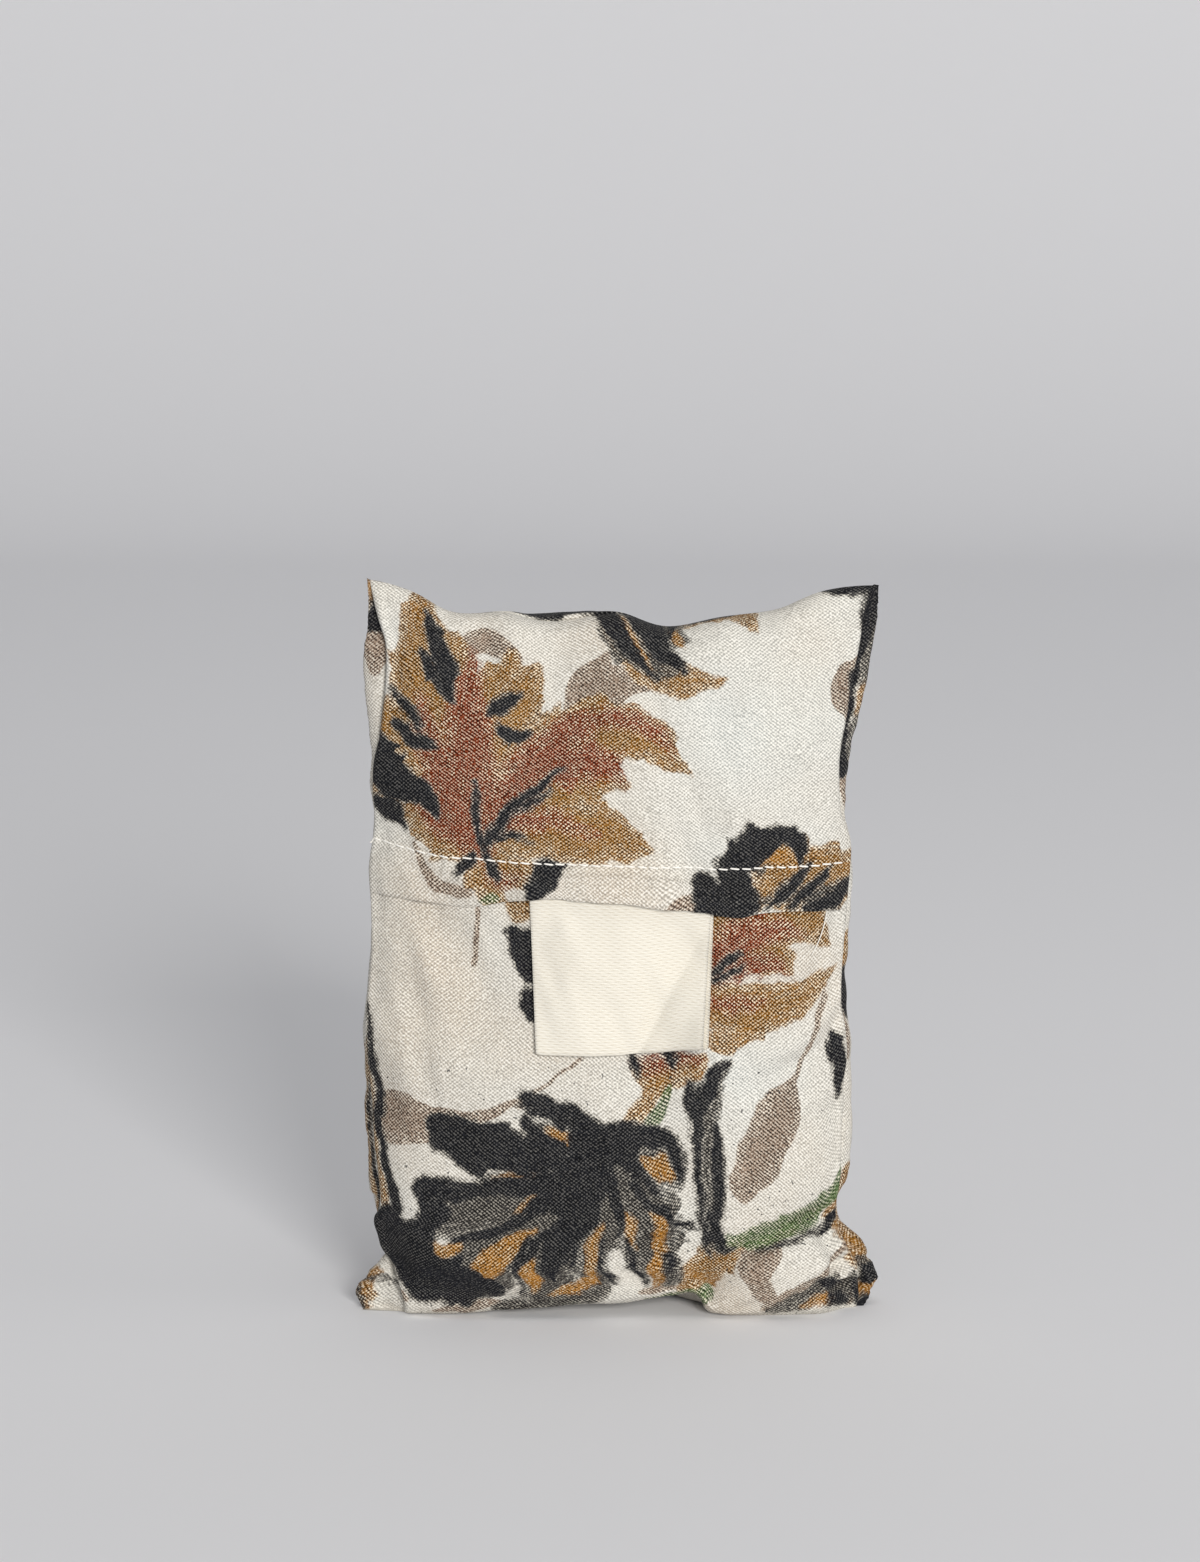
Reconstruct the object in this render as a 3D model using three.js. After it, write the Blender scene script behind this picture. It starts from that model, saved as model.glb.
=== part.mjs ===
// A reusable shopping bag stuffed into its own pouch, which stands on its bottom fold.
// Millimetres. +X is to the right of the front, +Y to the back and +Z up. The origin is the middle of the base.
import * as THREE from "three";

// Sizes of the filled pouch
const pouchHeight = 167.8;
const seamThickness = 1.6;
const soleInset = 6.5;
const toeLiftReach = 5;
const earReach = 16;
const leftEarLean = 2.2;
const rightEarLean = -2.6;
const clothTilt = -0.03;
const foldFadeDepth = 4;
const sectionPower = 0.58;
const topWavePower = 4;

// Sizes of the flap and its stitched hem
const pieceGap = 0.3;
const flapThickness = 1.0;
const hemEdgeHeight = 95.6;
const hemDepth = 10.4;
const hemExtraThickness = 0.7;
const hemStep = 0.5;
const stitchGrooveDepth = 0.35;
const stitchGrooveWidth = 0.9;
const labelBumpAcross = 5;
const labelBumpUp = 7;
const labelBumpMargin = 0.8;

// Sizes of the label
const labelWidth = 41.4;
const labelCentre = 0.9;
const labelDrop = 34.5;
const labelTuck = 6.5;
const labelThickness = 1.3;
const labelTaper = 1.5;
const labelHang = 0.9;
const labelCurl = 2.6;
const labelCurlReach = 0.62;
const labelCurlSlant = 0.9;
const labelGap = 0.35;

// How finely the cloth is divided
const columns = 40;
const rowsBelowHem = 23;
const rowsAboveHem = 12;
const rowCrowding = 1.35;
const flapSideColumns = 3;
const labelCells = 14;
const searchSteps = 12;

// Where the side seams run: the left and right edge at each height.
const sideSeams = [
  { height: 0, left: -56.8, right: 56.4 },
  { height: 2.5, left: -59.9, right: 59.2 },
  { height: 5, left: -60.2, right: 60.3 },
  { height: 9, left: -58.2, right: 59.4 },
  { height: 13, left: -55.8, right: 57.2 },
  { height: 17, left: -55.4, right: 54.0 },
  { height: 24, left: -56.2, right: 53.8 },
  { height: 33, left: -56.9, right: 54.9 },
  { height: 45, left: -58.2, right: 54.8 },
  { height: 60, left: -57.6, right: 53.3 },
  { height: 80, left: -56.9, right: 52.6 },
  { height: 100, left: -56.2, right: 52.9 },
  { height: 110, left: -55.9, right: 52.5 },
  { height: 118, left: -55.9, right: 50.8 },
  { height: 130, left: -56.3, right: 52.6 },
  { height: 140, left: -57.1, right: 54.9 },
  { height: 148, left: -57.9, right: 56.9 },
  { height: 157, left: -57.0, right: 58.6 },
  { height: 168.6, left: -55.4, right: 58.9 },
];

// The top fold: its height at each place across, from the left corner to the right one.
const topFold = [
  { across: -56, height: 168.6 },
  { across: -46, height: 165.5 },
  { across: -37, height: 161.2 },
  { across: -25, height: 160.4 },
  { across: -15, height: 158.6 },
  { across: 0, height: 159.8 },
  { across: 12, height: 157.9 },
  { across: 24, height: 160.1 },
  { across: 36, height: 162.0 },
  { across: 47, height: 165.6 },
  { across: 59, height: 167.0 },
];

// How far the filling pushes the cloth out at each share of the height, and how square the section is.
const filling = [
  { share: 0, front: 12.0, back: 10.8, squareness: 5.0 },
  { share: 0.012, front: 14.4, back: 12.6, squareness: 5.0 },
  { share: 0.035, front: 15.7, back: 13.5, squareness: 4.6 },
  { share: 0.08, front: 16.2, back: 13.9, squareness: 4.0 },
  { share: 0.21, front: 16.1, back: 13.9, squareness: 3.4 },
  { share: 0.36, front: 15.6, back: 13.4, squareness: 3.2 },
  { share: 0.53, front: 14.4, back: 12.4, squareness: 3.0 },
  { share: 0.68, front: 12.4, back: 10.7, squareness: 2.8 },
  { share: 0.8, front: 10.4, back: 9.0, squareness: 2.5 },
  { share: 0.88, front: 8.6, back: 7.6, squareness: 2.2 },
  { share: 0.94, front: 6.6, back: 6.0, squareness: 2.0 },
  { share: 0.98, front: 4.2, back: 4.0, squareness: 1.9 },
  { share: 1, front: 1.6, back: 1.6, squareness: 1.9 },
];

// How far the front toe of the base is drawn up off the surface, across the front.
const toeLift = [
  { across: -60, lift: 0 },
  { across: -34, lift: 0.2 },
  { across: -12, lift: 2.0 },
  { across: 8, lift: 2.4 },
  { across: 18, lift: 3.2 },
  { across: 26, lift: 0.6 },
  { across: 34, lift: 0 },
  { across: 60, lift: 0 },
];

// Main folds of the front: a soft trough from one point to another, or a ridge where the depth is negative.
const frontFolds = [
  { name: "left seam crease", from: [-54.6, 62], to: [-53.2, 18], width: 2.6, depth: 1.8 },
  { name: "left foot crease", from: [-53.2, 18], to: [-48.0, 2], width: 3.4, depth: 3.0 },
  { name: "right seam crease, high", from: [55.4, 160], to: [50.4, 138], width: 1.8, depth: 1.4 },
  { name: "right seam crease, low", from: [50.4, 138], to: [48.4, 117], width: 1.8, depth: 1.6 },
  { name: "left seam crease, high", from: [-54.0, 164], to: [-54.4, 140], width: 1.6, depth: 1.2 },
  { name: "foot fold", from: [18, 10], to: [50, 21], width: 3.2, depth: 1.5 },
  { name: "foot ridge", from: [26, 4], to: [50, 13], width: 3.6, depth: -1.3 },
  { name: "right corner crease", from: [49, 20], to: [54, 3], width: 2.8, depth: 2.0 },
  { name: "arch over the toe", from: [2, 2], to: [17, 6], width: 4.0, depth: 1.6 },
  { name: "pull from the right seam", from: [51, 80], to: [30, 62], width: 3.4, depth: 1.3 },
  { name: "pull under the hem", from: [50, 88], to: [41, 72], width: 2.8, depth: -0.9 },
  { name: "pull from the left seam", from: [-52, 90], to: [-38, 58], width: 3.4, depth: 0.9 },
  { name: "slack on the left", from: [-47, 84], to: [-34, 46], width: 3.2, depth: -0.7 },
  { name: "pinch at the top left", from: [-50, 160], to: [-36, 146], width: 4.2, depth: 1.2 },
  { name: "pinch at the top right", from: [52, 158], to: [36, 142], width: 4.6, depth: 1.2 },
  { name: "dent in the top fold", from: [-13, 158], to: [-17, 140], width: 4.0, depth: 1.1 },
  { name: "second dent in the top fold", from: [13, 157], to: [10, 143], width: 4.0, depth: 1.1 },
];

// Main folds of the back, in the same terms.
const backFolds = [
  { name: "pinch at the top left", from: [-50, 158], to: [-32, 138], width: 4.6, depth: 1.3 },
  { name: "pinch at the top right", from: [52, 156], to: [34, 140], width: 4.6, depth: 1.2 },
  { name: "crease above the left foot", from: [-52, 22], to: [-30, 12], width: 3.4, depth: 1.4 },
  { name: "crease above the right foot", from: [50, 24], to: [28, 10], width: 3.6, depth: 1.5 },
  { name: "edge of the folded bag", from: [-34, 52], to: [20, 60], width: 5.0, depth: 0.9 },
  { name: "slack down the back", from: [8, 120], to: [22, 78], width: 5.0, depth: 0.8 },
];

// The value of a table's column at a place along another, on a smooth curve through the rows.
function smooth(table, along, column, place) {
  const last = table.length - 1;
  const at = THREE.MathUtils.clamp(place, table[0][along], table[last][along]);
  let i = 0;
  while (i < last - 1 && at > table[i + 1][along]) i += 1;
  const slope = (k) => {
    const before = table[Math.max(k - 1, 0)];
    const after = table[Math.min(k + 1, last)];
    return (after[column] - before[column]) / (after[along] - before[along]);
  };
  const [low, high] = [table[i], table[i + 1]];
  const span = high[along] - low[along];
  const u = (at - low[along]) / span;
  const [startSlope, endSlope] = [slope(i) * span, slope(i + 1) * span];
  const rise = high[column] - low[column];
  const bend = 3 * rise - 2 * startSlope - endSlope;
  const twist = startSlope + endSlope - 2 * rise;
  return low[column] + u * (startSlope + u * (bend + u * twist));
}

// A smooth hump that is 1 at 0 and has faded by the given width.
function hump(distance, width) {
  return Math.exp(-((distance / width) ** 2));
}

// The depth of all the folds of one face at a point, as seen from the front.
function foldDepth(folds, x, z) {
  return folds.reduce((depth, fold) => {
    const [x0, z0] = fold.from;
    const [dx, dz] = [fold.to[0] - x0, fold.to[1] - z0];
    const along = THREE.MathUtils.clamp(((x - x0) * dx + (z - z0) * dz) / (dx * dx + dz * dz), 0, 1);
    const away = Math.hypot(x - x0 - along * dx, z - z0 - along * dz);
    return depth + fold.depth * hump(away, fold.width);
  }, 0);
}

// A point of the pouch's cloth. side runs from -1 at the left seam to 1 at the right one, and share up the height.
function pouchPoint(face, side, share) {
  const flatHeight = share * pouchHeight;
  const left = smooth(sideSeams, "height", "left", flatHeight);
  const right = smooth(sideSeams, "height", "right", flatHeight);
  const x = left + ((side + 1) / 2) * (right - left);
  const topWave = smooth(topFold, "across", "height", x) - pouchHeight;
  const tilt = clothTilt * x * 4 * share * (1 - share);
  const z = flatHeight + topWave * share ** topWavePower + tilt;
  const squareness = smooth(filling, "share", "squareness", share);
  const section = Math.max(1 - Math.abs(side) ** squareness, 0) ** sectionPower;
  const depth = smooth(filling, "share", face, share) * section;
  const folds = foldDepth(face === "front" ? frontFolds : backFolds, x, z) * Math.min(1, depth / foldFadeDepth);
  const out = Math.max(depth - folds, 0) + seamThickness / 2;
  const earLean = (side < 0 ? leftEarLean : rightEarLean) * side ** 6 * Math.exp(-flatHeight / earReach);
  return new THREE.Vector3(x, earLean + (face === "front" ? -out : out), z);
}

// The point of the front that stands at a place across and a height, found in a few steps.
function frontAt(x, z) {
  let side = 0;
  let share = z / pouchHeight;
  let point = pouchPoint("front", side, share);
  const halfWidth = (sideSeams[0].right - sideSeams[0].left) / 2;
  for (let step = 0; step < searchSteps; step += 1) {
    side = THREE.MathUtils.clamp(side + (x - point.x) / halfWidth, -1, 1);
    share = THREE.MathUtils.clamp(share + (z - point.z) / pouchHeight, 0, 1);
    point = pouchPoint("front", side, share);
  }
  return point;
}

// The shares of the height below the hem, close together at the base.
function sharesBelowHem() {
  const even = Array.from({ length: rowsBelowHem }, (_, k) => k / rowsBelowHem);
  return even.map((part) => (hemEdgeHeight / pouchHeight) * part ** rowCrowding);
}

// The shares of the height from the hem to the top fold: the hem's own rows, then rows that close up to the top.
function sharesFromHem() {
  const hemRows = [0, 2 * hemStep, hemDepth / 2, hemDepth - 2 * hemStep, hemDepth, hemDepth + 2 * hemStep];
  const shares = hemRows.map((height) => (hemEdgeHeight + height) / pouchHeight);
  const start = shares[shares.length - 1];
  const even = Array.from({ length: rowsAboveHem }, (_, k) => (k + 1) / rowsAboveHem);
  return [...shares, ...even.map((part) => start + (1 - start) * Math.sin((Math.PI / 2) * part))];
}

// The places across, close together near the seams, where the cloth turns.
function columnSides() {
  return Array.from({ length: columns + 1 }, (_, k) => Math.sin((Math.PI / 2) * ((2 * k) / columns - 1)));
}

// A closed solid between two grids of points with the same columns and rows, front facing -Y.
function solidBetween(front, back) {
  const [across, up] = [front.length, front[0].length];
  const at = (isBack, i, j) => (isBack ? across * up : 0) + i * up + j;
  const faces = [];
  const quad = (a, b, c, d) => faces.push(a, b, c, a, c, d);
  for (let i = 0; i < across - 1; i += 1) {
    for (let j = 0; j < up - 1; j += 1) {
      quad(at(false, i, j), at(false, i + 1, j), at(false, i + 1, j + 1), at(false, i, j + 1));
      quad(at(true, i, j), at(true, i, j + 1), at(true, i + 1, j + 1), at(true, i + 1, j));
    }
    quad(at(false, i, 0), at(true, i, 0), at(true, i + 1, 0), at(false, i + 1, 0));
    quad(at(false, i, up - 1), at(false, i + 1, up - 1), at(true, i + 1, up - 1), at(true, i, up - 1));
  }
  const end = across - 1;
  for (let j = 0; j < up - 1; j += 1) {
    quad(at(false, 0, j), at(false, 0, j + 1), at(true, 0, j + 1), at(true, 0, j));
    quad(at(false, end, j), at(true, end, j), at(true, end, j + 1), at(false, end, j + 1));
  }
  const geometry = new THREE.BufferGeometry().setFromPoints([...front.flat(), ...back.flat()]);
  geometry.setIndex(faces);
  geometry.computeVertexNormals();
  return geometry;
}

// One face of the pouch as columns of points, with its front toe drawn up off the surface.
function pouchFace(name, shares) {
  return columnSides().map((side) =>
    shares.map((share) => {
      const point = pouchPoint(name, side, share);
      const lift = name === "front" ? smooth(toeLift, "across", "lift", point.x) : 0;
      point.z += lift * Math.exp((-share * pouchHeight) / toeLiftReach);
      return point;
    }),
  );
}

// The flat sole starts inside the toe and the heel, on the surface that the pouch stands on.
function withSole(face, otherFace) {
  return face.map((column, i) => {
    const toe = column[0];
    const halfDepth = (otherFace[i][0].y - toe.y) / 2;
    const inset = Math.sign(halfDepth) * Math.min(soleInset, Math.abs(halfDepth) / 2);
    return [new THREE.Vector3(toe.x, toe.y + inset, 0), ...column];
  });
}

function pouchGeometry() {
  const shares = [...sharesBelowHem(), ...sharesFromHem()];
  const front = pouchFace("front", shares);
  const back = pouchFace("back", shares);
  return solidBetween(withSole(front, back), withSole(back, front));
}

// The direction out of a grid of points that faces -Y, at one of them.
function outward(grid, i, j) {
  const leftward = grid[Math.max(i - 1, 0)][j];
  const rightward = grid[Math.min(i + 1, grid.length - 1)][j];
  const below = grid[i][Math.max(j - 1, 0)];
  const above = grid[i][Math.min(j + 1, grid[i].length - 1)];
  return rightward.clone().sub(leftward).cross(above.clone().sub(below)).normalize();
}

// How far the flap stands off to pass over the tucked end of the label, which fades out round it.
function labelBump(x, z) {
  const past = Math.max(Math.abs(x - labelCentre) - labelWidth / 2 - labelBumpMargin, 0);
  const above = Math.max(z - hemEdgeHeight - labelTuck - labelBumpMargin, 0);
  return (labelThickness + pieceGap) * hump(past, labelBumpAcross) * hump(above, labelBumpUp);
}

// The thickness of the flap at a height over its edge: the hem is doubled, with a groove where it is stitched.
function flapThicknessAt(height) {
  const hem = 1 / (1 + Math.exp((height - hemDepth) / hemStep));
  return flapThickness + hemExtraThickness * hem - stitchGrooveDepth * hump(height - hemDepth, stitchGrooveWidth);
}

// The flap lies on the upper front from its hem to the top fold.
function flapGeometry() {
  const shares = sharesFromHem();
  const under = pouchFace("front", shares);
  const topRow = shares.length - 1;
  const flapPoint = (point, i, j, isOuter) => {
    const height = shares[j] * pouchHeight - hemEdgeHeight;
    const distance = labelBump(point.x, point.z) + pieceGap + (isOuter ? flapThicknessAt(height) : 0);
    return point.clone().addScaledVector(outward(under, i, Math.min(j, topRow - 1)), distance);
  };
  const layer = (isOuter) => {
    const grid = under.map((column, i) => column.map((point, j) => flapPoint(point, i, j, isOuter)));
    return grid.slice(flapSideColumns, columns + 1 - flapSideColumns);
  };
  return solidBetween(layer(true), layer(false));
}

// A point of the label, u across and v up it. Its lower right corner curls away along a slanting crease.
function labelPoint(u, v, isOuter) {
  const down = 1 - v;
  const hang = down * (labelDrop + labelTuck);
  const x = labelCentre + (u - 0.5) * (labelWidth - 2 * labelTaper * down * down);
  const shown = Math.max(hang - labelTuck, 0) / labelDrop;
  const pastCrease = Math.max(u + labelCurlSlant * shown - 1 - labelCurlSlant + labelCurlReach, 0);
  const lift = labelHang * shown * shown + labelCurl * (pastCrease / labelCurlReach) ** 1.4;
  const point = frontAt(x, hemEdgeHeight + labelTuck - hang);
  point.y -= labelGap + lift + (isOuter ? labelThickness : 0);
  return point;
}

// The label hangs from under the hem.
function labelGeometry() {
  const steps = Array.from({ length: labelCells + 1 }, (_, k) => k / labelCells);
  const layer = (isOuter) => steps.map((u) => steps.map((v) => labelPoint(u, v, isOuter)));
  return solidBetween(layer(true), layer(false));
}

function namedMesh(name, geometry, material) {
  const mesh = new THREE.Mesh(geometry, material);
  mesh.name = name;
  return mesh;
}

const backCloth = new THREE.MeshStandardMaterial({ color: 0xe6dfd2, roughness: 0.78, metalness: 0 });
const flapCloth = new THREE.MeshStandardMaterial({ color: 0xe9e0d0, roughness: 0.78, metalness: 0 });
const twillTape = new THREE.MeshStandardMaterial({ color: 0xf3ead8, roughness: 0.85, metalness: 0 });

const bag = new THREE.Group();
bag.add(namedMesh("pouch", pouchGeometry(), backCloth));
bag.add(namedMesh("flap", flapGeometry(), flapCloth));
bag.add(namedMesh("label", labelGeometry(), twillTape));

// The origin is moved to the middle of the base.
const middle = new THREE.Box3().setFromObject(bag).getCenter(new THREE.Vector3());
bag.children.forEach((piece) => piece.geometry.translate(-middle.x, -middle.y, 0));

export default bag;
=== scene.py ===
"""A reusable shopping bag, folded up and stuffed into its own leaf-printed pouch.

The pouch stands on its bottom fold. It is a strip of cloth: the flap hangs in front from the top fold, the
back runs down behind it, turns under the base and comes up again as the lower front. A bare tape label is
caught under the flap's stitched hem. Lengths in the tables and the named values are in millimetres. Those of
the properties, the stage and the sheets' flat sizes are in metres.
"""

import math

import bpy
import numpy as np
from bpy.props import FloatProperty, FloatVectorProperty, PointerProperty
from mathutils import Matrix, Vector
from mathutils.bvhtree import BVHTree


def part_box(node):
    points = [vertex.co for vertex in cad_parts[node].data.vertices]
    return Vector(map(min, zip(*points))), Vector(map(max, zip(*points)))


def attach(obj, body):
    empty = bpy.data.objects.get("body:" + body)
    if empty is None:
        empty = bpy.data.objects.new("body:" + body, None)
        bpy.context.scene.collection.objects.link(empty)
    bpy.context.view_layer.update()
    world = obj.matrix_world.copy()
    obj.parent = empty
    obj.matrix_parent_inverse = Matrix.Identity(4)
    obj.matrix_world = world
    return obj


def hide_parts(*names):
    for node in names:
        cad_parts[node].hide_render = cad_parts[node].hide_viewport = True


bl_info = {
    "name": "Stuffed shopping bag",
    "version": (1, 0, 0),
    "blender": (4, 5, 0),
    "location": "3D View > Sidebar > Shopping Bag",
    "description": "Builds a foldable shopping bag stuffed into its own pouch",
    "category": "Add Mesh",
}

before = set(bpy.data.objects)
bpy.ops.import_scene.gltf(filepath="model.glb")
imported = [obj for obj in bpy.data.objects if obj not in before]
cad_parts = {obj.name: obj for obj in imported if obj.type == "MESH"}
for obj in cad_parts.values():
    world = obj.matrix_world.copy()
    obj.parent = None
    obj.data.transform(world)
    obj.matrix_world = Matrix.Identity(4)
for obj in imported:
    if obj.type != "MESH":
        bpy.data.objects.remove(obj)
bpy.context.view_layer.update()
POUCH_LOW, POUCH_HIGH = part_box("pouch")
MM = 0.001


def table(columns, *rows):
    """A table with named columns, as one array for each column."""
    return dict(zip(columns.split(), (np.array(values) for values in zip(*rows))))


# The filled pouch. Heights are measured up the flat pouch.
POUCH_HEIGHT = 167.8
CLOTH_TILT = -0.03
SECTION_POWER = 0.58
EDGE_CROWDING = 0.6
HALF_SEAM = 0.8
HALF_WIDTH = 57.0
TOP_WAVE_POWER = 4
TOP_ROUNDING = 3.2

# The two lower corners lean forward as ears, and the toe is lifted between them.
EAR_REACH = 16
LEFT_EAR_LEAN = -6.5
RIGHT_EAR_LEAN = -4.4
EAR_LEAN_POWER = 6
EAR_PINCH = 0.6
EAR_ROOT = 46
EAR_TIP = 55
PINCH_REACH = 15
TOE_LIFT_REACH = 8
TOE_LIFT_POWER = 8

# The sole's rows run in from the toe and the heel, by these shares of its inset.
SOLE_INSET = 6.5
SOLE_PARTS = (1.0, 0.45)
SOLE_DROP = 0.15

# The back rises over the top fold at one place.
BACK_PEEP = 3.4
BACK_PEEP_MIDDLE = -11
BACK_PEEP_REACH = 12
BACK_PEEP_HEIGHT = POUCH_HEIGHT - 2.4
BACK_PEEP_WIDTH = 2.2

OUTLINE = table(
    "height left right",
    (0, -58.4, 56.8),
    (2.5, -59.5, 58.4),
    (4.5, -59.6, 59.0),
    (6.8, -58.6, 59.2),
    (8.2, -56.9, 59.2),
    (9.6, -54.6, 59.1),
    (11, -53.4, 58.8),
    (13, -54.7, 58.0),
    (16, -55.4, 56.4),
    (18.5, -56.2, 54.4),
    (21.5, -56.5, 52.7),
    (25, -57.2, 52.8),
    (33, -57.8, 54.4),
    (45, -58.1, 54.9),
    (60, -58.6, 54.0),
    (80, -58.4, 54.3),
    (100, -57.9, 54.7),
    (110, -57.4, 55.0),
    (118, -57.4, 53.5),
    (130, -57.5, 54.0),
    (140, -57.6, 56.2),
    (148, -57.9, 58.0),
    (157, -57.0, 59.4),
    (168.6, -55.6, 59.3),
)

TOP_FOLD = table(
    "across height",
    (-56, 168.6),
    (-46, 165.5),
    (-37, 161.2),
    (-25, 160.4),
    (-15, 158.6),
    (0, 159.8),
    (12, 157.9),
    (24, 160.1),
    (36, 162.0),
    (47, 165.6),
    (59, 167.0),
)

FILLING = table(
    "share front back squareness",
    (0, 12.0, 10.8, 5.0),
    (0.012, 14.4, 12.6, 5.0),
    (0.035, 15.7, 13.5, 4.6),
    (0.08, 16.2, 13.9, 4.0),
    (0.21, 16.1, 13.9, 3.4),
    (0.36, 15.6, 13.4, 3.2),
    (0.53, 14.4, 12.4, 3.0),
    (0.68, 12.4, 10.7, 2.8),
    (0.8, 10.4, 9.0, 2.5),
    (0.88, 8.6, 7.6, 2.2),
    (0.94, 6.6, 6.0, 2.0),
    (0.98, 4.2, 4.0, 1.9),
    (1, 2.4, 2.4, 1.9),
)

TOE_LIFT = table(
    "across lift",
    (-60, 0),
    (-49, 0.3),
    (-36, 0.4),
    (-26, 1.4),
    (-17, 2.9),
    (-6, 3.4),
    (2, 4.1),
    (12, 4.7),
    (16, 4.8),
    (19, 2.6),
    (22, 0.8),
    (27, 0),
    (60, 0),
)

# The side seams lie in front of the outline by an inset, and the back's cloth dips in a groove beside them.
SEAMS = table(
    "height left_inset left_groove right_inset right_groove",
    (0, 9.4, 0.3, 2.0, 0.5),
    (2.5, 10.2, 1.0, 3.0, 1.0),
    (5, 9.3, 3.0, 3.8, 1.7),
    (7.2, 7.2, 3.0, 4.1, 2.0),
    (9, 3.8, 2.6, 4.3, 2.2),
    (11, 0.6, 2.0, 4.3, 2.2),
    (13, 0.4, 1.8, 4.2, 2.2),
    (17, 0.3, 1.6, 3.4, 1.8),
    (20, 0.6, 1.6, 1.8, 1.2),
    (22, 1.8, 1.6, 1.6, 1.1),
    (25, 2.8, 1.5, 1.8, 1.0),
    (31, 2.5, 1.3, 2.2, 0.9),
    (38, 1.7, 1.1, 2.7, 0.8),
    (47, 1.2, 0.9, 2.6, 0.7),
    (60, 0.8, 0.6, 2.0, 0.7),
    (74, 0.6, 0.4, 1.7, 0.7),
    (94, 0.4, 0.3, 0.8, 0.5),
    (112, 0.4, 0.3, 0.6, 0.5),
    (120, 1.2, 0.7, 1.6, 0.9),
    (128, 2.5, 1.1, 2.5, 1.2),
    (138, 4.4, 1.5, 3.4, 1.4),
    (147, 5.8, 1.7, 4.3, 1.5),
    (154, 5.0, 1.6, 4.1, 1.4),
    (161, 2.6, 1.1, 3.2, 1.0),
    (166, 1.1, 0.6, 1.6, 0.5),
    (167.8, 0.7, 0.3, 0.6, 0.3),
)

# Folds of the cloth: a bent path from its start past its middle to its end, the widths of its two flanks,
# its height, or its depth where that is negative, and the share of it that is left at its two ends
FOLD_COLUMNS = "x0 z0 x1 z1 x2 z2 left right height start end"
FRONT_FOLDS = table(
    FOLD_COLUMNS,
    # Pulls that come down from the right seam under the hem
    (53, 74, 47, 64, 30, 60, 4.0, 1.6, 1.5, 1.0, 0.1),
    (52, 68, 44, 58, 28, 55, 1.8, 3.4, -1.2, 0.9, 0.0),
    (51, 90, 47, 82, 44, 74, 1.6, 2.6, -0.8, 0.8, 0.1),
    # Slack that fans out from under the hem on the left
    (-51, 93, -42, 78, -35, 52, 2.6, 4.2, 0.75, 0.5, 0.0),
    (-50, 88, -46, 72, -41, 44, 2.2, 3.0, -0.6, 0.6, 0.0),
    (-44, 93, -33, 80, -26, 62, 2.4, 3.6, -0.55, 0.5, 0.0),
    (-52, 74, -49, 58, -44, 38, 2.0, 3.0, 0.55, 0.6, 0.0),
    (-38, 94, -30, 86, -24, 74, 1.8, 2.8, 0.45, 0.6, 0.0),
    # The right foot: the fold over it, its ridges and the crumpled corner
    (19, 4, 26, 20.5, 52, 23, 2.6, 1.5, -2.2, 0.5, 0.9),
    (25, 3, 33, 16, 50, 18, 3.0, 4.0, 2.0, 0.4, 0.5),
    (37, 1, 46, 9, 55, 14.5, 0.7, 1.7, -2.4, 0.3, 0.9),
    (35, 4, 43, 11, 53, 17, 2.2, 1.0, 1.7, 0.2, 0.7),
    (42, 2, 49, 6, 57, 9, 1.0, 1.4, -1.2, 0.2, 0.8),
    (27, 8, 30, 13, 36, 17, 1.6, 1.2, 0.7, 0.2, 0.2),
    (24, 2, 29, 5, 35, 4, 1.4, 1.8, -0.7, 0.2, 0.2),
    (45, 23, 49, 15, 50, 9, 1.2, 1.8, -1.6, 0.6, 0.3),
    (44, 16, 48, 10, 49, 3, 1.4, 1.8, 1.1, 0.2, 0.6),
    (50, 17, 54, 13, 56, 7, 1.0, 1.6, 1.3, 0.4, 0.4),
    (45, 10, 50, 8.6, 55, 8, 1.0, 0.7, 1.3, 0.2, 0.5),
    (45, 7.4, 50, 6, 56, 6.6, 0.9, 1.2, -1.4, 0.2, 0.7),
    (51, 12, 53, 9, 57, 10, 1.0, 1.2, -0.9, 0.3, 0.8),
    (49, 2, 53, 3, 57, 3, 1.2, 1.4, 0.8, 0.3, 0.6),
    # The arch between the feet, and the roll over the left foot
    (2, 3, 10, 5, 19, 10, 2.6, 3.2, -1.2, 0.1, 0.3),
    (-49, 9, -36, 5, -22, 4, 2.0, 3.0, -0.8, 0.6, 0.0),
    (-46, 19, -34, 12, -16, 10, 3.0, 4.0, 0.6, 0.3, 0.0),
    # Soft hollows of the filling
    (-22, 44, -6, 40, 10, 30, 8.0, 7.0, -0.7, 0.2, 0.2),
    (20, 48, 30, 40, 36, 28, 6.0, 6.0, -0.6, 0.2, 0.1),
    (-40, 40, -34, 30, -30, 22, 5.0, 6.0, -0.5, 0.2, 0.2),
)

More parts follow.
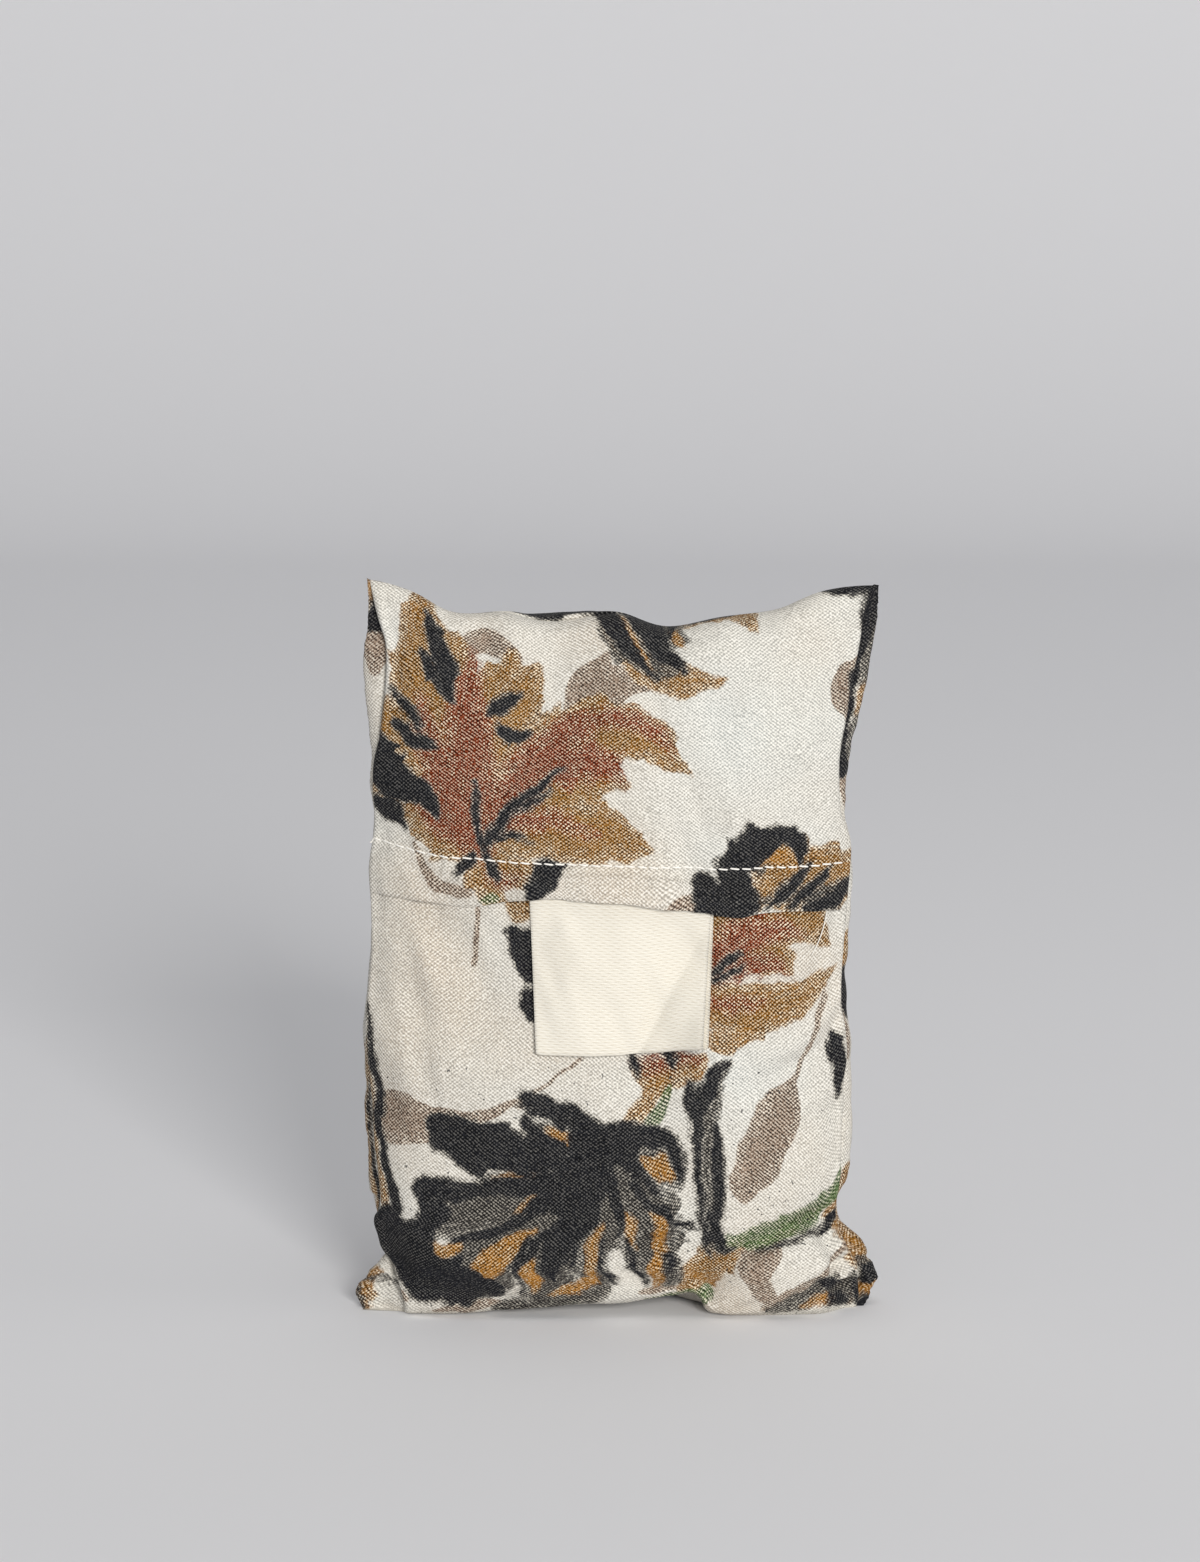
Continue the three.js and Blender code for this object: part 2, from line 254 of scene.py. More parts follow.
FLAP_FOLDS = table(
    FOLD_COLUMNS,
    # Hollows under the top fold, between its waves
    (-31, 161, -29, 150, -33, 138, 4.0, 5.0, -0.9, 0.9, 0.0),
    (-12, 159, -14, 150, -18, 140, 4.0, 5.0, -0.9, 0.9, 0.0),
    (-22, 160, -23, 154, -25, 148, 3.0, 3.0, 0.7, 0.9, 0.0),
    (12, 158, 11, 150, 8, 140, 4.0, 4.0, -0.9, 0.9, 0.0),
    (2, 160, 0, 153, -2, 147, 3.0, 4.0, 0.6, 0.9, 0.0),
    (24, 160, 24, 153, 27, 146, 3.6, 3.0, 0.5, 0.9, 0.0),
    # Pinches that run down from the ears
    (-54, 166, -46, 156, -36, 150, 3.4, 5.0, -1.1, 0.4, 0.0),
    (-52, 158, -49, 146, -47, 132, 2.4, 3.4, -0.7, 0.6, 0.0),
    (56, 164, 46, 154, 34, 148, 5.0, 3.4, -1.1, 0.4, 0.0),
    (53, 156, 48, 142, 46, 128, 3.0, 2.4, -0.8, 0.6, 0.0),
    (49, 140, 44, 130, 36, 124, 2.6, 3.4, 0.6, 0.7, 0.0),
    # Puckers that rise from the hem's stitches
    (22, 105, 25, 112, 31, 122, 1.8, 2.4, 0.75, 1.0, 0.0),
    (29, 105, 28, 114, 24, 124, 2.0, 1.6, 0.65, 1.0, 0.0),
    (34, 105, 37, 112, 43, 118, 1.6, 2.2, -0.6, 1.0, 0.0),
    (44, 105, 46, 111, 51, 116, 1.6, 2.0, 0.5, 1.0, 0.1),
    (4, 105, 6, 112, 5, 120, 2.2, 2.2, -0.35, 1.0, 0.0),
    (-14, 105, -12, 112, -8, 119, 2.0, 2.0, 0.35, 1.0, 0.0),
    (-33, 107, -31, 113, -26, 118, 1.8, 2.2, -0.4, 1.0, 0.0),
    (-46, 108, -44, 114, -40, 120, 1.8, 2.2, 0.4, 1.0, 0.0),
    (-52, 112, -46, 108, -38, 108, 1.6, 2.2, -0.5, 0.8, 0.0),
)

BACK_FOLDS = table(
    FOLD_COLUMNS,
    (-54, 162, -42, 150, -28, 142, 5.0, 3.6, -1.2, 0.5, 0.0),
    (54, 160, 42, 150, 30, 140, 3.6, 5.0, -1.2, 0.5, 0.0),
    (-24, 160, -22, 150, -26, 138, 4.0, 4.0, 0.7, 0.9, 0.0),
    (-10, 159, -9, 148, -12, 136, 4.0, 4.0, -0.8, 0.9, 0.0),
    (14, 158, 15, 148, 12, 136, 4.0, 4.0, -0.8, 0.9, 0.0),
    (28, 160, 26, 150, 28, 140, 3.4, 3.4, 0.6, 0.9, 0.0),
    (-54, 24, -42, 18, -26, 16, 2.4, 4.6, -1.5, 0.8, 0.0),
    (54, 26, 42, 18, 26, 15, 4.6, 2.4, -1.6, 0.8, 0.0),
    (-52, 12, -44, 10, -30, 4, 2.4, 3.0, 0.9, 0.8, 0.0),
    (-61, 8, -57, 6.5, -50, 6, 1.0, 1.6, -1.3, 0.8, 0.3),
    (-61, 3, -56, 3.5, -50, 2, 1.0, 1.2, 0.9, 0.5, 0.3),
    (-59, 12, -55, 11, -50, 12, 1.0, 1.4, 0.8, 0.5, 0.3),
    (61, 13, 58, 10, 53, 10, 1.2, 1.0, -1.2, 0.7, 0.3),
    (62, 7, 58, 6, 53, 7, 1.2, 1.0, 1.0, 0.6, 0.3),
    (61, 3, 57, 3.5, 52, 2, 1.0, 1.2, -0.9, 0.6, 0.3),
    (52, 10, 44, 11, 32, 4, 3.0, 2.4, 0.9, 0.8, 0.0),
    (-38, 48, -10, 60, 24, 56, 4.0, 9.0, -0.9, 0.2, 0.2),
    (6, 128, 18, 104, 20, 76, 8.0, 5.0, -0.8, 0.2, 0.1),
    (-30, 118, -36, 96, -30, 74, 6.0, 8.0, 0.6, 0.2, 0.1),
    (52, 96, 40, 88, 28, 90, 2.6, 3.6, 0.7, 0.8, 0.0),
    (-54, 84, -44, 76, -34, 78, 3.6, 2.6, -0.7, 0.8, 0.0),
    (-52, 122, -44, 116, -32, 116, 2.6, 3.2, 0.6, 0.8, 0.0),
)

# The flap's edge, the line of stitches that holds its hem, and how far the edge stands off the lower front.
HEM = table(
    "across edge stitches stand",
    (-60, 93.6, 107.4, 0.1),
    (-50, 93.9, 106.0, 0.2),
    (-42, 93.8, 104.9, 0.3),
    (-31, 94.5, 104.5, 0.3),
    (-20, 97.2, 104.2, 0.8),
    (-9, 97.5, 104.2, 1.2),
    (0, 97.2, 104.3, 1.4),
    (12, 97.2, 104.2, 1.5),
    (24, 95.0, 104.0, 1.2),
    (34, 95.8, 104.2, 0.6),
    (46, 95.1, 104.6, 0.8),
    (60, 94.2, 104.9, 0.2),
)

# Where the label lies, and how deep it is tucked under the hem
LABEL_CENTRE = 0.6
LABEL_TUCK_DEPTH = 2.4


def smooth(rows, along, column, place):
    """The value of a table's column at each place, on a smooth curve through the rows."""
    x, y = rows[along].astype(float), rows[column].astype(float)
    k = np.arange(len(x))
    before, after = np.maximum(k - 1, 0), np.minimum(k + 1, len(x) - 1)
    slopes = (y[after] - y[before]) / (x[after] - x[before])
    at = np.clip(place, x[0], x[-1])
    i = np.clip(np.searchsorted(x, at, side="right") - 1, 0, len(x) - 2)
    span, rise = x[i + 1] - x[i], y[i + 1] - y[i]
    u = (at - x[i]) / span
    first, last = slopes[i] * span, slopes[i + 1] * span
    bend, twist = 3 * rise - 2 * first - last, first + last - 2 * rise
    return y[i] + u * (first + u * (bend + u * twist))


def hump(distance, width):
    """A smooth hump that is 1 at 0 and has faded to about a third at the given width."""
    return np.exp(-((distance / width) ** 2))


def ripple(x, z, seed, shortest, longest, count=26):
    """Uneven waves of about unit height, from a seeded handful of plain ones."""
    rng = np.random.default_rng(seed)
    total = np.zeros_like(x)
    for _ in range(count):
        turn, phase = rng.uniform(0, 2 * math.pi, 2)
        step = 2 * math.pi / rng.uniform(shortest, longest)
        total += np.cos(step * (x * math.cos(turn) + z * math.sin(turn)) + phase)
    return total / math.sqrt(count)


def bent_path(row, pieces=10):
    """Points along a path that is bent past its middle point."""
    start, middle, end = (np.array([row[f"x{k}"], row[f"z{k}"]], float) for k in range(3))
    at = np.linspace(0, 1, pieces + 1)[:, None]
    return (1 - at) ** 2 * start + 2 * at * (1 - at) * middle + at**2 * end


def from_path(x, z, path):
    """How far each point lies from a path, to its left where positive, and how far along it, from 0 to 1."""
    nearest = np.full(x.shape, np.inf)
    signed, along = np.zeros_like(x), np.zeros_like(x)
    pieces = len(path) - 1
    for k in range(pieces):
        (x0, z0), (dx, dz) = path[k], path[k + 1] - path[k]
        share = np.clip(((x - x0) * dx + (z - z0) * dz) / (dx * dx + dz * dz), 0, 1)
        off_x, off_z = x - x0 - share * dx, z - z0 - share * dz
        away = np.hypot(off_x, off_z)
        closer = away < nearest
        nearest = np.where(closer, away, nearest)
        signed = np.where(closer, np.sign(dx * off_z - dz * off_x) * away, signed)
        along = np.where(closer, (k + share) / pieces, along)
    return signed, along


def rows_of(rows):
    """The rows of a table, each as a dictionary."""
    return [dict(zip(rows, values)) for values in zip(*rows.values())]


def fold_relief(folds, x, z):
    """How far a table's folds lift the cloth at each point."""
    relief = np.zeros_like(x)
    for fold in rows_of(folds):
        away, along = from_path(x, z, bent_path(fold))
        flank = np.where(away > 0, fold["left"], fold["right"])
        ends = np.where(along < 0.5, fold["start"], fold["end"])
        swell = ends + (1 - ends) * np.sin(math.pi * along)
        relief += fold["height"] * swell * hump(away, flank)
    return relief


def across_from(place):
    """How far across the pouch a place lies, from -1 to 1. Even places crowd together towards its edges."""
    return (1 - EDGE_CROWDING) * place + EDGE_CROWDING * np.sin(math.pi / 2 * place)


def section(is_front, place, height):
    """Points of the filled pouch before its small folds. place runs from -1 at the outline's left to 1 at
    its right, and past them it goes on round the edge onto the other face."""
    past = np.abs(place) > 1
    place = np.where(past, np.sign(place) * (2 - np.abs(place)), place)
    front = np.logical_xor(past, is_front)
    side = across_from(place)
    left = smooth(OUTLINE, "height", "left", height)
    right = smooth(OUTLINE, "height", "right", height)
    x = left + (side + 1) / 2 * (right - left)
    share = height / POUCH_HEIGHT
    top_wave = smooth(TOP_FOLD, "across", "height", x) - POUCH_HEIGHT
    z = height + top_wave * share**TOP_WAVE_POWER + CLOTH_TILT * x * 4 * share * (1 - share)
    squareness = smooth(FILLING, "share", "squareness", share)
    round_off = np.maximum(1 - np.abs(side) ** squareness, 0) ** SECTION_POWER
    deep = np.where(front, smooth(FILLING, "share", "front", share), smooth(FILLING, "share", "back", share))
    to_top = np.clip((height - POUCH_HEIGHT + TOP_ROUNDING) / TOP_ROUNDING, 0, 1)
    out = (deep + HALF_SEAM) * round_off * np.sqrt(np.maximum(1 - to_top**2, 0))
    to_tip = np.clip((np.abs(x) - EAR_ROOT) / (EAR_TIP - EAR_ROOT), 0, 1)
    out = out * (1 - EAR_PINCH * to_tip**2 * (3 - 2 * to_tip) * hump(height, PINCH_REACH))
    lean = np.where(side < 0, LEFT_EAR_LEAN, RIGHT_EAR_LEAN) * side**EAR_LEAN_POWER
    y = lean * np.exp(-height / EAR_REACH) + np.where(front, -out, out)
    peep = hump(x - BACK_PEEP_MIDDLE, BACK_PEEP_REACH) * hump(height - BACK_PEEP_HEIGHT, BACK_PEEP_WIDTH)
    z = z + np.where(front, 0, BACK_PEEP * peep)
    lift = np.where(front, smooth(TOE_LIFT, "across", "lift", x), 0) * (1 - np.abs(side) ** TOE_LIFT_POWER)
    return np.stack([x, y, z + lift * np.exp(-height / TOE_LIFT_REACH)], -1)


def advance(inset):
    """How far in front of the outline a seam lies, as a place, for its inset from the outline."""
    place = np.linspace(0, 1, 400)
    return 1 - np.interp(1 - inset / HALF_WIDTH, across_from(place), place)


def seam_places(height):
    """The places of the left and right seams on the front, as distances from the outline."""
    left = advance(smooth(SEAMS, "height", "left_inset", height))
    right = advance(smooth(SEAMS, "height", "right_inset", height))
    return left, right


def outward(grid):
    """The unit normals of a grid, which face -Y when its columns run to the right and its rows up."""
    across, up = np.gradient(grid, axis=0), np.gradient(grid, axis=1)
    normal = np.cross(across, up)
    return normal / np.maximum(np.linalg.norm(normal, axis=-1, keepdims=True), 1e-9)


def run_length(grid, axis, start):
    """The length along a grid's columns or rows, counted from one of them."""
    steps = np.linalg.norm(np.diff(grid, axis=axis), axis=-1)
    total = np.concatenate([np.zeros_like(np.take(steps, [0], axis)), np.cumsum(steps, axis)], axis)
    return total - np.take(total, [start], axis)


COLUMNS = 180
ROWS = 206
END_CROWDING = 0.35
SEAM_SPLIT = 0.006

# Beside a seam lie ridges and dips, each with a height, a distance from it and a width. The back's are as
# strong as the seam's groove. The puckers that run into a seam have a height, a reach and a plain strip
# beside it, and a shortest and a longest length.
SEAM_FORMS = {"front": ((0.5, 1.2, 1.3), (-0.15, 0, 0.4)), "back": ((-0.7, 0, 2.8), (-0.5, 0, 0.8))}
SEAM_PUCKERS = {"front": (0.22, 5, 1.5), "back": (0.3, 7, 2)}
PUCKER_LENGTHS = (6, 16)
SEAM_STRIP = 2.0

# Waves of the cloth, with a height and a shortest and a longest length, and where folds and waves fade out
BROAD_WAVES = (0.28, 18, 46)
FINE_WAVES = (0.09, 5, 15)
BASE_FADE = 3.0
TOP_FADE = 6


def pouch_heights():
    """The heights of the rows, closer together at the base and the top."""
    even = np.linspace(0, 1, ROWS + 1)
    eased = (1 - np.cos(math.pi * even)) / 2
    return POUCH_HEIGHT * ((1 - END_CROWDING) * even + END_CROWDING * eased)


def places_across(height, is_front):
    """The places of the columns at each height, from the left seam to the right one."""
    left, right = seam_places(height)
    turn = -1 if is_front else 1
    first, last = -1 - turn * left + SEAM_SPLIT, 1 + turn * right - SEAM_SPLIT
    return first + (last - first) * np.linspace(0, 1, COLUMNS + 1)[:, None]


def seam_relief(grid, is_front):
    """The ridges, dips and puckers beside the seams, and where the face is clear of them."""
    from_left = run_length(grid, 0, 0)
    from_right = -run_length(grid, 0, COLUMNS)
    z = grid[..., 2]
    face = "front" if is_front else "back"
    relief = np.zeros_like(z)
    for side, away, seed in (("left", from_left, 3), ("right", from_right, 4)):
        groove = 1 if is_front else smooth(SEAMS, "height", f"{side}_groove", z)
        for high, place, width in SEAM_FORMS[face]:
            relief += groove * high * hump(away - place, width)
        high, reach, plain = SEAM_PUCKERS[face]
        pucker = ripple(z, z * 0.3, seed, *PUCKER_LENGTHS)
        relief += high * pucker * np.exp(-away / reach) * (1 - hump(away, plain))
    return relief, 1 - hump(np.minimum(from_left, from_right), SEAM_STRIP)


def pouch_face(is_front, heights, folded=True):
    """One face of the pouch, with its folds or without them."""
    height = np.broadcast_to(heights, (COLUMNS + 1, len(heights)))
    smooth_face = section(is_front, places_across(heights, is_front), height)
    x, z = smooth_face[..., 0], smooth_face[..., 2]
    relief = np.zeros_like(x)
    if folded:
        for folds in (FRONT_FOLDS, FLAP_FOLDS) if is_front else (BACK_FOLDS,):
            relief += fold_relief(folds, x, z)
    for (high, shortest, longest), seed in ((BROAD_WAVES, 11 if is_front else 12), (FINE_WAVES, 13)):
        relief += high * ripple(x, z, seed, shortest, longest)
    seams, clear = seam_relief(smooth_face, is_front)
    base_fade = 1 - np.exp(-z / BASE_FADE)
    top_fade = np.clip((POUCH_HEIGHT - height) / TOP_FADE, 0, 1) ** 0.5
    facing = outward(smooth_face) * (1 if is_front else -1)
    level = facing * np.stack([np.ones_like(z), np.ones_like(z), base_fade], -1)
    folds_move = (relief * clear * base_fade * top_fade)[..., None] * facing
    return smooth_face + folds_move + (seams * top_fade)[..., None] * level


def with_sole(face, other):
    """The face with two more rows on the surface that the pouch stands on, from the toe or heel inwards."""
    toe = face[:, 0]
    half = (other[:, 0, 1] - toe[:, 1]) / 2
    inset = np.sign(half) * np.minimum(SOLE_INSET, np.abs(half) / 2)
    rows = []
    for part in SOLE_PARTS:
        row = toe.copy()
        row[:, 1] += inset * part
        row[:, 2] = toe[:, 2] * (1 - SOLE_DROP * part)
        rows.append(row)
    return np.concatenate([np.stack(rows, 1), face], 1)


def with_sole_places(cloth, onward):
    """A face's places on its cloth, with those of the sole's two rows before them. onward is 1 where the
    cloth's heights grow from the face's edge onto the sole, and -1 where they shrink."""
    rows = [cloth[:, :1] + [0, onward * part * SOLE_INSET] for part in SOLE_PARTS]
    return np.concatenate([*rows, cloth], 1)


def closed_mesh(name, front, back, attributes, cloth):
    """A closed mesh between two grids of points, with attributes of its points and the cloth's own map.
    front faces -Y. attributes and cloth hold one array for each grid."""
    across, up = front.shape[:2]
    points = np.concatenate([front.reshape(-1, 3), back.reshape(-1, 3)]) * MM
    f = np.arange(across * up).reshape(across, up)
    b = f + across * up

    def quads(p, q, r, s):
        return np.stack([np.ravel(side) for side in (p, q, r, s)], -1)

    faces = np.concatenate(
        [
            quads(f[:-1, :-1], f[1:, :-1], f[1:, 1:], f[:-1, 1:]),
            quads(b[:-1, :-1], b[:-1, 1:], b[1:, 1:], b[1:, :-1]),
            quads(f[:-1, 0], b[:-1, 0], b[1:, 0], f[1:, 0]),
            quads(f[:-1, -1], f[1:, -1], b[1:, -1], b[:-1, -1]),
            quads(f[0, :-1], f[0, 1:], b[0, 1:], b[0, :-1]),
            quads(f[-1, :-1], b[-1, :-1], b[-1, 1:], f[-1, 1:]),
        ]
    )
    mesh = bpy.data.meshes.new(name)
    mesh.from_pydata(points.tolist(), [], faces.tolist())
    mesh.shade_smooth()
    for key, (on_front, on_back) in attributes.items():
        values = np.concatenate([on_front.ravel(), on_back.ravel()])
        mesh.attributes.new(key, "FLOAT", "POINT").data.foreach_set("value", values.astype(np.float32))
    if cloth:
        places = np.concatenate([grid.reshape(-1, 2) for grid in cloth]) * MM
        corners = np.zeros(len(mesh.loops), np.int32)
        mesh.loops.foreach_get("vertex_index", corners)
        mesh.uv_layers.new(name="cloth").data.foreach_set("uv", places[corners].astype(np.float32).ravel())
    made = bpy.data.objects.new(name, mesh)
    bpy.context.scene.collection.objects.link(made)
    return made


class Surface:
    """A grid of points in millimetres that can be asked where it is, seen straight from the front."""

    def __init__(self, grid):
        across, up = grid.shape[:2]
        i = np.arange(across * up).reshape(across, up)
        faces = np.stack([i[:-1, :-1], i[1:, :-1], i[1:, 1:], i[:-1, 1:]], -1).reshape(-1, 4)
        self.tree = BVHTree.FromPolygons(grid.reshape(-1, 3).tolist(), faces.tolist())

    def depth_at(self, x, z):
        """The y of the surface at each place, or that of the nearest point where there is none."""
        found = []
        for place_x, place_z in zip(np.ravel(x), np.ravel(z)):
            point = self.tree.ray_cast(Vector((place_x, -200, place_z)), Vector((0, 1, 0)))[0]
            if point is None:
                point = self.tree.find_nearest(Vector((place_x, -20, place_z)))[0]
            found.append(point.y)
        return np.array(found).reshape(np.shape(x))


# The print: brush strokes along bent paths, with half their width at the start, middle and end, and a number
# of teeth. A sheet's heights run on past the top fold and down the back, or under the base.
STROKE_COLUMNS = "paint x0 z0 x1 z1 x2 z2 wide0 wide1 wide2 teeth"

RUST_LEAF = table(
    STROKE_COLUMNS,
    # The pale buds behind it
    ("taupe", -37, 151, -31, 160, -23, 151, 1.4, 3.2, 1.4, 0),
    ("taupe", -10, 139, -6, 146, -2, 152, 2.6, 4.2, 0.4, 0),
    ("taupe", -7, 141, -1, 147, 7, 144, 4.0, 4.4, 0.5, 0),
    # Its lobes
    ("ochre", -30, 107, -43, 140, -46, 169, 5.0, 11.5, 0.4, 5),
    ("ochre", -38, 128, -46, 148, -53, 152, 4.0, 5.0, 0.4, 2),
    ("ochre", -37, 127, -48, 137, -59, 137, 5.0, 7.0, 4.0, 3),
    ("ochre", -36, 112, -48, 124, -58, 122, 5.0, 7.0, 4.0, 3),
    ("ochre", -33, 127, -25, 139, -18, 151, 5.5, 7.5, 0.3, 4),
    ("ochre", -33, 135, -29, 144, -24, 152, 5.0, 5.0, 1.6, 2),
    ("ochre", -23, 130, -16, 134, -13, 141, 4.0, 3.4, 0.3, 2),
    ("ochre", -27, 113, -2, 149, 17, 124, 6.0, 8.0, 0.4, 3),
    ("ochre", -27, 114, -11, 127, 3, 123, 6.0, 7.0, 0.5, 4),
    ("ochre", -29, 110, -8, 116, 8, 107, 3.0, 7.5, 0.3, 4),
    ("ochre", -30, 108, -22, 100, -16, 104, 3.0, 3.5, 0.8, 2),
    ("ochre", -30, 107, -31, 99, -26, 96, 3.0, 4.4, 1.4, 2),
    ("ochre", -30, 108, -40, 110, -49, 115, 3.6, 5.4, 1.0, 3),
    # The rust in their hearts
    ("rust", -30, 107, -35, 131, -34, 153, 3.4, 6.4, 0.8, 3),
    ("rust", -31, 109, -41, 123, -45, 142, 3.4, 5.4, 0.6, 3),
    ("rust", -30, 110, -18, 132, -4, 138, 3.0, 6.0, 1.4, 3),
    ("rust", -20, 124, -4, 132, 2, 123, 3.6, 5.0, 0.6, 3),
    ("rust", -6, 137, 6, 140, 13, 130, 1.8, 2.4, 0.5, 2),
    ("rust", -27, 112, -16, 118, -6, 111, 2.2, 2.4, 0.7, 2),
    ("rust", -31, 108, -38, 115, -47, 117, 3.0, 4.4, 0.8, 3),
    ("rust", -29, 104, -27, 99, -22, 102, 1.6, 2.0, 0.6, 0),
    # Dark dabs and veins
    ("charcoal", -44, 162, -40, 153, -38, 142, 0.6, 2.3, 0.5, 2),
    ("charcoal", -45.5, 152, -42, 147, -38, 142, 0.3, 1.8, 0.5, 2),
    ("charcoal", -52, 144, -48, 139, -44, 136, 0.3, 0.9, 0.3, 0),
    ("charcoal", -51, 136, -47, 132, -41, 131, 0.8, 1.8, 0.3, 2),
    ("charcoal", -29, 139, -26, 141, -22, 143, 0.6, 1.7, 0.2, 2),
    ("charcoal", -27, 136, -24, 132, -20, 135, 0.4, 1.7, 0.3, 2),
    ("charcoal", -56, 131, -53, 122, -45, 120, 3.0, 5.0, 0.8, 3),
    ("charcoal", -50, 123, -43, 120, -41, 116, 1.4, 2.4, 0.8, 2),
    ("charcoal", -56, 117, -52, 116, -49, 112, 1.8, 2.6, 0.6, 2),
    ("charcoal", -32, 123, -32, 114, -29, 106, 0.4, 0.7, 0.6, 0),
    ("charcoal", -29, 109, -23, 119, -12, 126, 0.7, 0.9, 0.2, 3),
    ("charcoal", -24, 117, -19, 118, -15, 121, 0.4, 0.7, 0.1, 2),
    ("charcoal", -29, 111, -26, 111, -20, 110, 0.5, 0.7, 0.2, 2),
    ("charcoal", -36, 102, -34, 105, -33, 107, 0.4, 1.3, 0.3, 0),
    ("charcoal", -30, 107, -28, 104, -27, 101, 0.4, 1.1, 0.2, 0),
)

HANGING_LEAF = table(
    STROKE_COLUMNS,
    ("ochre", -1, 161, 5, 143, 25, 146, 2.4, 4.4, 0.3, 2),
    ("wash", -3, 163, 2, 150, 14, 148, 2.0, 4.0, 0.6, 2),
    ("wash", 10, 167, 11, 158, 16, 156, 4.0, 4.4, 1.4, 2),
    ("gold", 1, 161, 3, 153, 8, 149, 0.6, 1.6, 0.4, 0),
    ("gold", 13, 159, 15, 156, 16, 154, 0.6, 1.0, 0.3, 0),
    ("charcoal", -4, 172, -2, 156, 9, 147, 2.6, 2.2, 0.4, 0),
    ("charcoal", 3, 174, 6, 158, 15, 148, 3.0, 3.6, 0.4, 2),
    ("charcoal", 12, 174, 13, 163, 13, 157, 3.0, 1.8, 0.5, 0),
    ("charcoal", -23, 166.6, -12, 167.2, -2, 166.6, 1.2, 2.6, 1.4, 2),
    ("ochre", 15, 160, 26, 171, 33, 157, 1.4, 4.4, 0.3, 2),
    ("charcoal", 17, 162, 22, 165, 29, 166, 0.4, 1.8, 0.4, 0),
)

EDGE_LEAF = table(
    STROKE_COLUMNS,
    ("ochre", 31, 106, 41, 101, 55, 103, 3.6, 6.4, 3.0, 3),
    ("ochre", 36, 100, 46, 97, 56, 98, 4.0, 5.0, 3.4, 0),
    ("ochre", 26, 99, 33, 97, 40, 96, 2.4, 3.4, 3.0, 2),
    ("wash", 30, 96, 40, 95.5, 56, 98, 0.8, 1.8, 2.0, 3),
    ("wash", 27, 105, 34, 108, 40, 106, 3.0, 4.0, 2.0, 2),
    ("gold", 32, 105, 38, 107, 40, 103, 1.2, 2.2, 0.6, 0),
    ("charcoal", 23, 104, 30, 107, 37, 112, 1.0, 4.4, 1.4, 2),
    ("charcoal", 37, 112, 42, 110, 41, 104, 1.4, 2.2, 0.5, 2),
    ("charcoal", 19, 101, 20, 94, 28, 94, 1.8, 4.0, 2.0, 2),
    ("charcoal", 24, 105, 27, 99, 30, 95, 2.0, 3.6, 2.0, 0),
    ("charcoal", 34, 94, 39, 99, 44, 104, 0.4, 1.3, 0.2, 0),
    ("charcoal", 39, 94, 44, 98, 49, 102, 0.4, 1.4, 0.2, 0),
    ("charcoal", 44, 94, 50, 95, 56, 99, 0.8, 2.0, 1.0, 2),
    ("taupe", 10, 95, 15, 97, 20, 94, 0.6, 2.0, 0.8, 0),
    ("charcoal", -18.5, 97, -18, 103, -12, 104, 1.0, 2.9, 0.4, 0),
    ("taupe", -47, 108, -43, 98, -34, 98, 0.5, 1.5, 1.0, 0),
    ("green", -31, 96.5, -29, 97.5, -27, 96.5, 0.5, 1.2, 0.4, 0),
    ("taupe", 55, 150, 50, 143.5, 53.5, 136.5, 0.6, 3.4, 0.8, 0),
    ("charcoal", 49.5, 169, 55, 167.5, 62, 169, 2.2, 3.4, 3.0, 2),
    ("charcoal", 60.5, 168, 59.5, 156, 56.5, 143, 3.4, 2.2, 1.0, 2),
    ("charcoal", 56, 146, 55, 134, 54, 124, 1.8, 1.4, 0.6, 3),
    ("ochre", 60, 150, 61, 144, 60, 138, 1.2, 1.8, 0.8, 0),
    ("ochre", -62, 176, -63, 158, -60, 144, 3.4, 4.0, 1.6, 2),
    ("taupe", -62, 160, -62, 152, -60, 142, 2.0, 2.4, 1.0, 0),
)

